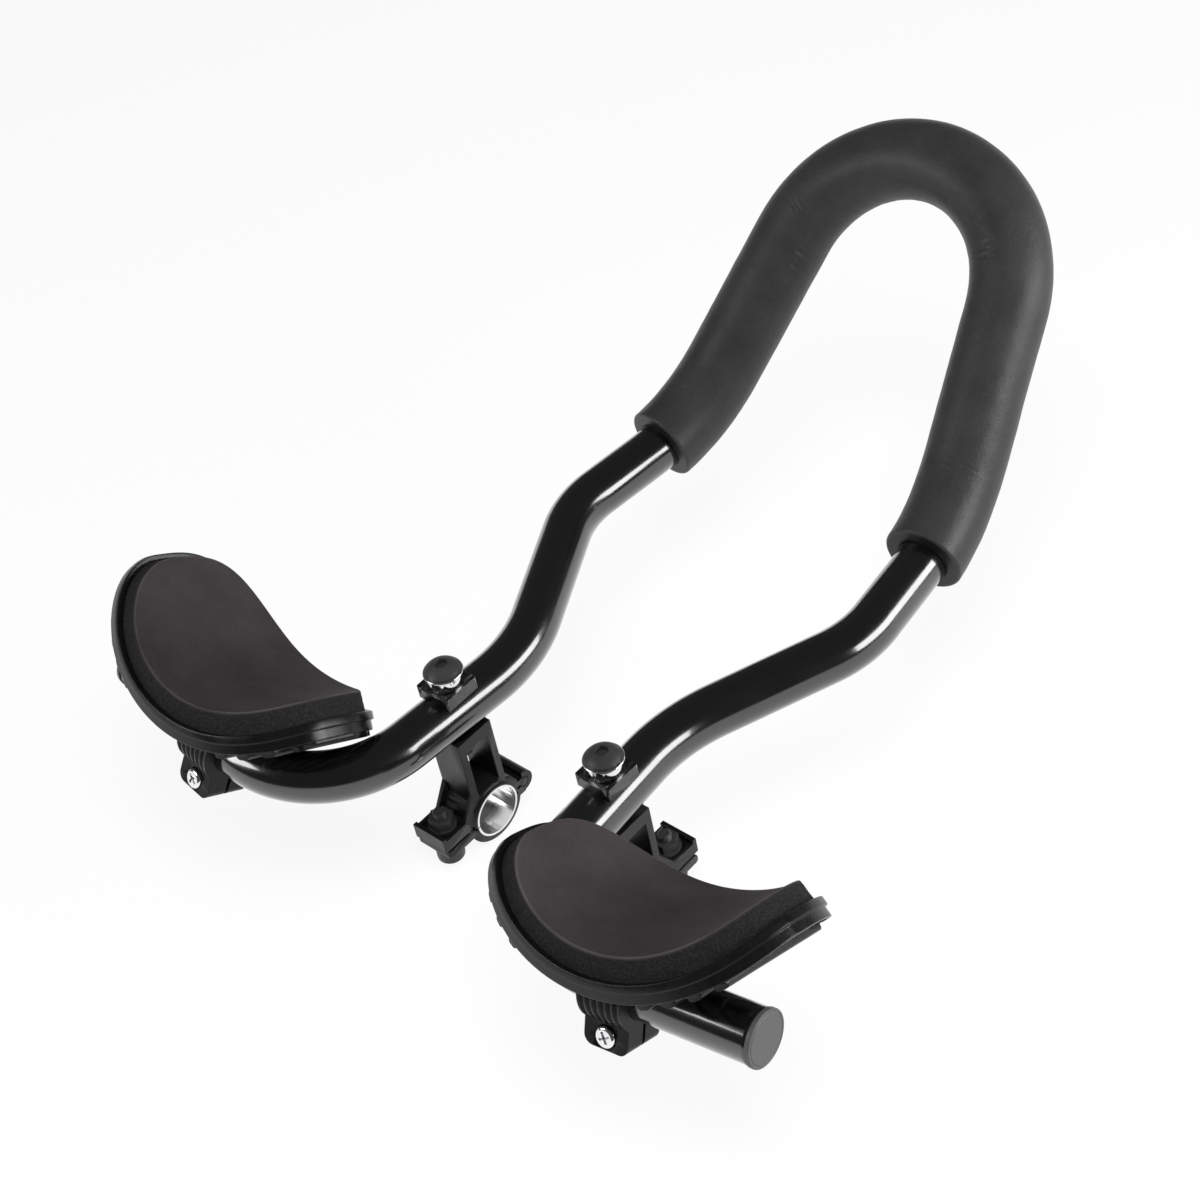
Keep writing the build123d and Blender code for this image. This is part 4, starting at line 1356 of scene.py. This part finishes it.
def turned(name: str, radius: Array, height: Array, origin: Array, axis: Array) -> Piece:
    """A turned piece: origin + height * axis + radius * spoke, with the radius free to vary round the axis.

    Args:
        name: Name of the object.
        radius: Radius of each row, or of each row and column, in millimetres.
        height: Height of each row along the axis.
        origin: Place where the height is zero.
        axis: Direction of the axis.

    Returns:
        The object.
    """
    columns = radius.shape[1] if radius.ndim == 2 else TURNED_COLUMNS
    radius = radius if radius.ndim == 2 else np.repeat(radius[:, None], columns, axis=1)
    axis = unit(np.asarray(axis, dtype=float))
    side = unit(np.cross(axis, [0.0, 0, 1] if abs(axis[2]) < UPRIGHT else [0.0, 1, 0]))
    other = np.cross(axis, side)
    a = round_angles(columns)
    spoke = np.cos(a)[:, None] * side + np.sin(a)[:, None] * other
    points = origin + height[:, None, None] * axis + radius[..., None] * spoke[None]
    piece = grid_object(name, points)
    crisp(piece)
    return piece


@dataclass
class EndCap:
    """The thin flanged cap in one lateral end of the bar."""

    side: Side
    bar: ExtensionBar
    overhang: float = 0.4
    thickness: float = 2.0
    edge: float = 0.6
    edge_rows: int = 7
    face_rings: tuple[float, ...] = (0.0, 4.0, 8.0)
    groove_at: float = 10.2
    groove: float = 0.25
    groove_half: float = 0.5
    groove_rows: int = 9
    plug: float = 14.0
    plug_clearance: float = 0.1

    def build(self) -> Piece:
        """Face with a shallow ring groove, rounded edge, flange and plug as rows out from the middle.

        Returns:
            The cap.
        """
        outer = self.bar.radius + self.overhang
        bore = self.bar.radius - self.bar.wall - self.plug_clearance
        rise, fall = corner_arc(self.edge, self.edge_rows)
        ring = np.linspace(-1, 1, self.groove_rows)
        back, end = -self.thickness, -self.thickness - self.plug
        r = np.concatenate([self.face_rings, self.groove_at + self.groove_half * ring, outer - rise,
                            [outer, bore, bore, 0]])
        z = np.concatenate([np.zeros(len(self.face_rings)), -self.groove * (1 - ring**2), -fall,
                            [back, back, end, end]])
        flip = np.array([self.side.value, 1, 1])
        place = (self.bar.tip_place + self.bar.end_run * self.thickness) * flip
        cap = turned(f"{self.side.word}_end_cap_disc", r, z, place, self.bar.end_run * flip)
        return adopt(cap, Body.FRAME.value, CAP_PLASTIC, Slot.CAP, f"{self.side.word}_end_cap")


@dataclass
class Riser:
    """One riser with its clamp, bore sleeve, saddle plate, bolts, washers and nuts."""

    side: Side
    bar: ExtensionBar
    cup_floor: float = 73.3
    cup_height: float = 7.8
    cup_bottom: float = 7.0
    cup_top: float = 8.6
    cup_lip: float = 1.3
    cup_rows: int = 12
    lip_rows: int = 9
    cup_clearance: float = 0.05
    cup_edge: float = 0.3
    cup_bulge: float = 0.25
    bolt_radius: float = 3.0
    head_radius: float = 7.4
    head_rim: float = 1.0
    head_dome: float = 3.2
    dome_rows: int = 10
    dome_crisp_angle: float = 30.0
    socket: float = 5.0
    socket_depth: float = 2.8
    socket_lead: float = 1.0
    socket_draft: float = 0.98
    socket_flare: float = 1.05
    bolt_end: float = 31.9
    clamp_y: float = 22.25
    clamp_shank: float = 3.0
    clamp_top: float = 14.2
    clamp_seat: float = -5.0
    clamp_head_radius: float = 6.2
    clamp_head_height: float = 9.0
    clamp_head_edge: float = 1.4
    clamp_head_rows: int = 7
    clamp_socket: float = 5.0
    clamp_socket_depth: float = 3.5
    thread_pitch: float = 1.0
    thread_depth: float = 0.3
    thread_from: float = 10.4
    thread_rows: int = 34
    tail_length: float = 0.5
    tail_taper: float = 0.6

    @property
    def centre(self) -> Array:
        """Foot of the riser on the handlebar's axis."""
        return np.array([self.side.value * self.bar.riser_x, 0.0, 0.0])

    def cup(self) -> Piece:
        """The cup washer: a bowl that widens to a rolled lip, a little fuller than a straight cone.

        Returns:
            The washer.
        """
        arc = np.linspace(-np.pi / 2, np.pi / 2, self.lip_rows)
        lip, low, wide = self.cup_lip / 2, self.cup_edge, self.cup_bottom
        hole = self.bolt_radius + self.cup_clearance
        rise = np.linspace(0, 1, self.cup_rows)[1:-1]
        top = self.cup_height - 2 * lip
        side = wide + (self.cup_top - lip - wide) * rise + self.cup_bulge * np.sin(np.pi * rise)
        r = np.concatenate([[hole, wide - low, wide], side, self.cup_top - lip + lip * np.cos(arc),
                            [hole, hole]])
        z = np.concatenate([[0, 0, low], low + (top - low) * rise, self.cup_height - lip + lip * np.sin(arc),
                            [self.cup_height, 0]])
        floor = self.centre + [0, 0, self.cup_floor]
        washer = turned(f"{self.side.word}_saddle_washer_cup", r, z, floor, [0, 0, 1])
        return adopt(washer, Body.FRAME.value, CHROME, Slot.CHROME, f"{self.side.word}_saddle_washer")

    def bolt(self) -> Piece:
        """The domed bolt: hex socket, dome, rim and shank as rows out from the middle.

        The dome is part of a ball: crown - ball + sqrt(ball^2 - r^2).

        Returns:
            The bolt.
        """
        a = round_angles(TURNED_COLUMNS)
        socket = hexagon(self.socket, a)
        ball = (self.head_radius**2 + self.head_dome**2) / (2 * self.head_dome)
        base = self.cup_floor + self.cup_height
        crown = base + self.head_rim + self.head_dome
        floor = crown - self.socket_depth
        share = np.linspace(0, 1, self.dome_rows)[:, None]
        dome = socket * self.socket_flare * (1 - share) + self.head_radius * share
        rows = [(0, floor), (socket * self.socket_draft, floor), (socket, crown - self.socket_lead)]
        rows += zip(dome, crown - ball + np.sqrt(ball**2 - dome**2))
        rows += [(self.head_radius, base), (self.bolt_radius, base)]
        rows += [(self.bolt_radius, self.bolt_end), (0, self.bolt_end)]
        radius, height = profile_rows(rows, len(a))
        points = np.stack([radius * np.cos(a), radius * np.sin(a), height], axis=-1) + self.centre
        piece = grid_object(f"{self.side.word}_saddle_bolt_dome", points)
        crisp(piece, self.dome_crisp_angle)
        return adopt(piece, Body.FRAME.value, BOLT_OXIDE, Slot.OXIDE, f"{self.side.word}_saddle_bolt")

    def clamp_bolt(self) -> Piece:
        """The bolt of the handlebar clamp: socket and head below, shank and threaded tail above.

        Along the thread the radius dips by half the thread's depth times one plus the cosine of
        2 pi z / pitch less the angle, which makes a helix.

        Returns:
            The bolt.
        """
        a = round_angles(TURNED_COLUMNS)
        socket = hexagon(self.clamp_socket, a)
        low = self.clamp_seat - self.clamp_head_height
        floor = low + self.clamp_socket_depth
        rise, fall = corner_arc(self.clamp_head_edge, self.clamp_head_rows)
        rows = [(0, floor), (socket * self.socket_draft, floor), (socket, low)]
        rows += zip(self.clamp_head_radius - rise, low + fall)
        rows += [(self.clamp_head_radius, self.clamp_seat), (self.clamp_shank, self.clamp_seat)]
        thread = np.linspace(self.thread_from, self.clamp_top - self.tail_length, self.thread_rows)
        swing = 2 * np.pi * thread[:, None] / self.thread_pitch - a[None]
        rows += zip(self.clamp_shank - 0.5 * self.thread_depth * (1 + np.cos(swing)), thread)
        rows += [(self.clamp_shank - self.tail_taper, self.clamp_top), (0, self.clamp_top)]
        radius, height = profile_rows(rows, len(a))
        place = self.centre + [0, self.side.value * self.clamp_y, 0]
        bolt = turned(f"{self.side.word}_clamp_bolt_threaded", radius, height[:, 0], place, [0, 0, 1])
        return adopt(bolt, Body.FRAME.value, BOLT_OXIDE, Slot.OXIDE, f"{self.side.word}_clamp_bolt")

    def build(self) -> None:
        """The turned pieces, the copies of castings and small plates, and the hidden nut."""
        self.cup()
        self.bolt()
        self.clamp_bolt()
        finishes = {"riser_bracket": (RISER_PAINT, Slot.CASTING), "lower_clamp": (RISER_PAINT, Slot.CASTING),
                    "bore_sleeve": (TURNED_ALLOY, Slot.ALLOY), "clamp_washer": (BOLT_OXIDE, Slot.OXIDE),
                    "clamp_nut": (BOLT_OXIDE, Slot.OXIDE), "saddle_plate": (PLATE_STEEL, Slot.STEEL)}
        for label, (finish, slot) in finishes.items():
            joined_copy(f"{self.side.word}_{label}", Body.FRAME.value, finish, slot)
        dress_node(f"{self.side.word}_saddle_nut", PLATE_STEEL)


@dataclass(frozen=True)
class SoftBox:
    """A rectangular lamp, in millimetres and watts; one that isn't mirrored leaves no streak on the tube."""

    name: str
    place: tuple[float, float, float]
    size: tuple[float, float]
    power: float
    mirrored: bool = True


def stand(thing: Piece, place: Sequence[float], right: Array, back: Array) -> None:
    """Puts a camera or a lamp in the scene.

    Args:
        thing: The camera or lamp.
        place: Where it stands, in millimetres.
        right: Direction of its right side.
        back: Direction that it turns its back to.
    """
    bpy.context.scene.collection.objects.link(thing)
    turn = np.eye(4)
    turn[:3, :3] = np.stack([right, np.cross(back, right), back], axis=-1)
    turn[:3, 3] = np.array(place) * MM
    thing.matrix_world = Matrix(turn.tolist())


@dataclass
class Studio:
    """White floor and world, soft boxes and the camera."""

    camera_place: tuple[float, float, float] = (562.82, -417.64, 773.38)
    camera_right: tuple[float, float, float] = (0.7391, 0.6542, -0.1603)
    camera_back: tuple[float, float, float] = (0.5651, -0.4728, 0.6761)
    focal: float = 73.55
    sensor: float = 36.0
    clip: tuple[float, float] = (0.01, 50.0)
    floor_reach: float = 6000.0
    floor_tone: float = 0.94
    floor_white: float = 0.9
    fill: float = 0.07
    aim: tuple[float, float, float] = (0.0, 100.0, 60.0)
    lamps: tuple[SoftBox, ...] = (
        SoftBox("overhead_box", (450, -150, 1300), (700, 500), 15.0, mirrored=False),
        SoftBox("left_box", (-650, -860, 620), (600, 340), 5.0),
        SoftBox("right_box", (980, 580, 400), (420, 900), 11.0),
    )

    def camera(self) -> None:
        """The camera at the photograph's place, turn and focal length."""
        data = bpy.data.cameras.new("photo_camera")
        data.sensor_width, data.sensor_fit, data.lens = self.sensor, "HORIZONTAL", self.focal
        data.clip_start, data.clip_end = self.clip
        thing = bpy.data.objects.new("photo_camera", data)
        back = unit(np.array(self.camera_back))
        right = unit(np.array(self.camera_right) - back * (back @ self.camera_right))
        stand(thing, self.camera_place, right, back)
        bpy.context.scene.camera = thing

    def backdrop_factor(self, graph: Graph) -> Socket:
        """One for camera, glossy and transmission rays, which see the plain white backdrop.

        Args:
            graph: The material's graph.

        Returns:
            The factor's socket.
        """
        path = graph.add("LightPath")
        seen = graph.math("MAXIMUM", path.outputs["Is Camera Ray"], path.outputs["Is Glossy Ray"])
        return graph.math("MAXIMUM", seen, path.outputs["Is Transmission Ray"])

    def floor(self, level: float) -> None:
        """A pale floor that shows white and keeps the object's shadow.

        Args:
            level: Height of the floor, in millimetres.
        """
        signs = np.array([[-1, -1], [1, -1], [1, 1], [-1, 1]])
        places = np.hstack([signs * self.floor_reach, np.full((4, 1), level)]) * MM
        mesh = bpy.data.meshes.new("floor")
        mesh.from_pydata(places.tolist(), [], [(0, 1, 2, 3)])
        thing = bpy.data.objects.new("floor", mesh)
        bpy.context.scene.collection.objects.link(thing)
        paint = bpy.data.materials.new("floor_white")
        paint.use_nodes = True
        paint.node_tree.nodes.clear()
        graph = Graph(paint.node_tree)
        matt = graph.add("BsdfDiffuse", {"Color": (*[self.floor_tone] * 3, 1)})
        white = graph.add("Emission", {"Color": (1, 1, 1, 1), "Strength": 1.0})
        factor = graph.math("MULTIPLY", self.backdrop_factor(graph), self.floor_white)
        mixed = graph.add("MixShader", {0: factor, 1: matt.outputs[0], 2: white.outputs[0]})
        graph.add("OutputMaterial", {"Surface": mixed.outputs[0]})
        mesh.materials.append(paint)
        thing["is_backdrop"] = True

    def world(self) -> None:
        """White to the camera, and a soft grey fill for everything else, reflections included."""
        made = bpy.data.worlds.new("studio_white")
        made.use_nodes = True
        made.node_tree.nodes.clear()
        graph = Graph(made.node_tree)
        fill = graph.add("Background", {"Color": (1, 1, 1, 1), "Strength": self.fill})
        white = graph.add("Background", {"Color": (1, 1, 1, 1), "Strength": 1.0})
        seen = graph.add("LightPath").outputs["Is Camera Ray"]
        mixed = graph.add("MixShader", {0: seen, 1: fill.outputs[0], 2: white.outputs[0]})
        graph.add("OutputWorld", {"Surface": mixed.outputs[0]})
        bpy.context.scene.world = made

    def light(self, lamp: SoftBox) -> None:
        """A soft box as a rectangular lamp that points at the aim.

        Args:
            lamp: The lamp.
        """
        data = bpy.data.lights.new(lamp.name, "AREA")
        width, height = np.array(lamp.size) * MM
        data.shape, data.size, data.size_y, data.energy = "RECTANGLE", width, height, lamp.power
        thing = bpy.data.objects.new(lamp.name, data)
        thing.visible_glossy = lamp.mirrored
        back = unit(np.array(lamp.place, dtype=float) - self.aim)
        stand(thing, lamp.place, unit(np.cross([0.0, 1.0, 0.0], back)), back)

    def build(self, level: float) -> None:
        """Camera, floor, world and lamps, shown without any grading.

        Args:
            level: Height of the floor, in millimetres.
        """
        self.camera()
        self.floor(level)
        self.world()
        for lamp in self.lamps:
            self.light(lamp)
        bpy.context.scene.view_settings.view_transform = "Standard"


ARM_TILTS = {Side.RIGHT: -26.5, Side.LEFT: -30.0}


def corners(box: Sequence[Sequence[float]]) -> list[list[float]]:
    """Two corners as plain lists of numbers."""
    return [[float(v) for v in corner] for corner in box]


def main() -> None:
    """Builds every piece and sets the studio round it."""
    logging.basicConfig(level=logging.INFO, format="%(name)s: %(message)s")
    solid_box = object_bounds()
    bar = ExtensionBar()
    bar.build()
    FoamGrip(bar).build()
    for side in Side:
        EndCap(side, bar).build()
        Riser(side, bar).build()
        ArmRest(side, bar, ARM_TILTS[side]).build()
    Studio().build(solid_box[0][2] / MM)


if __name__ == "__main__":
    main()
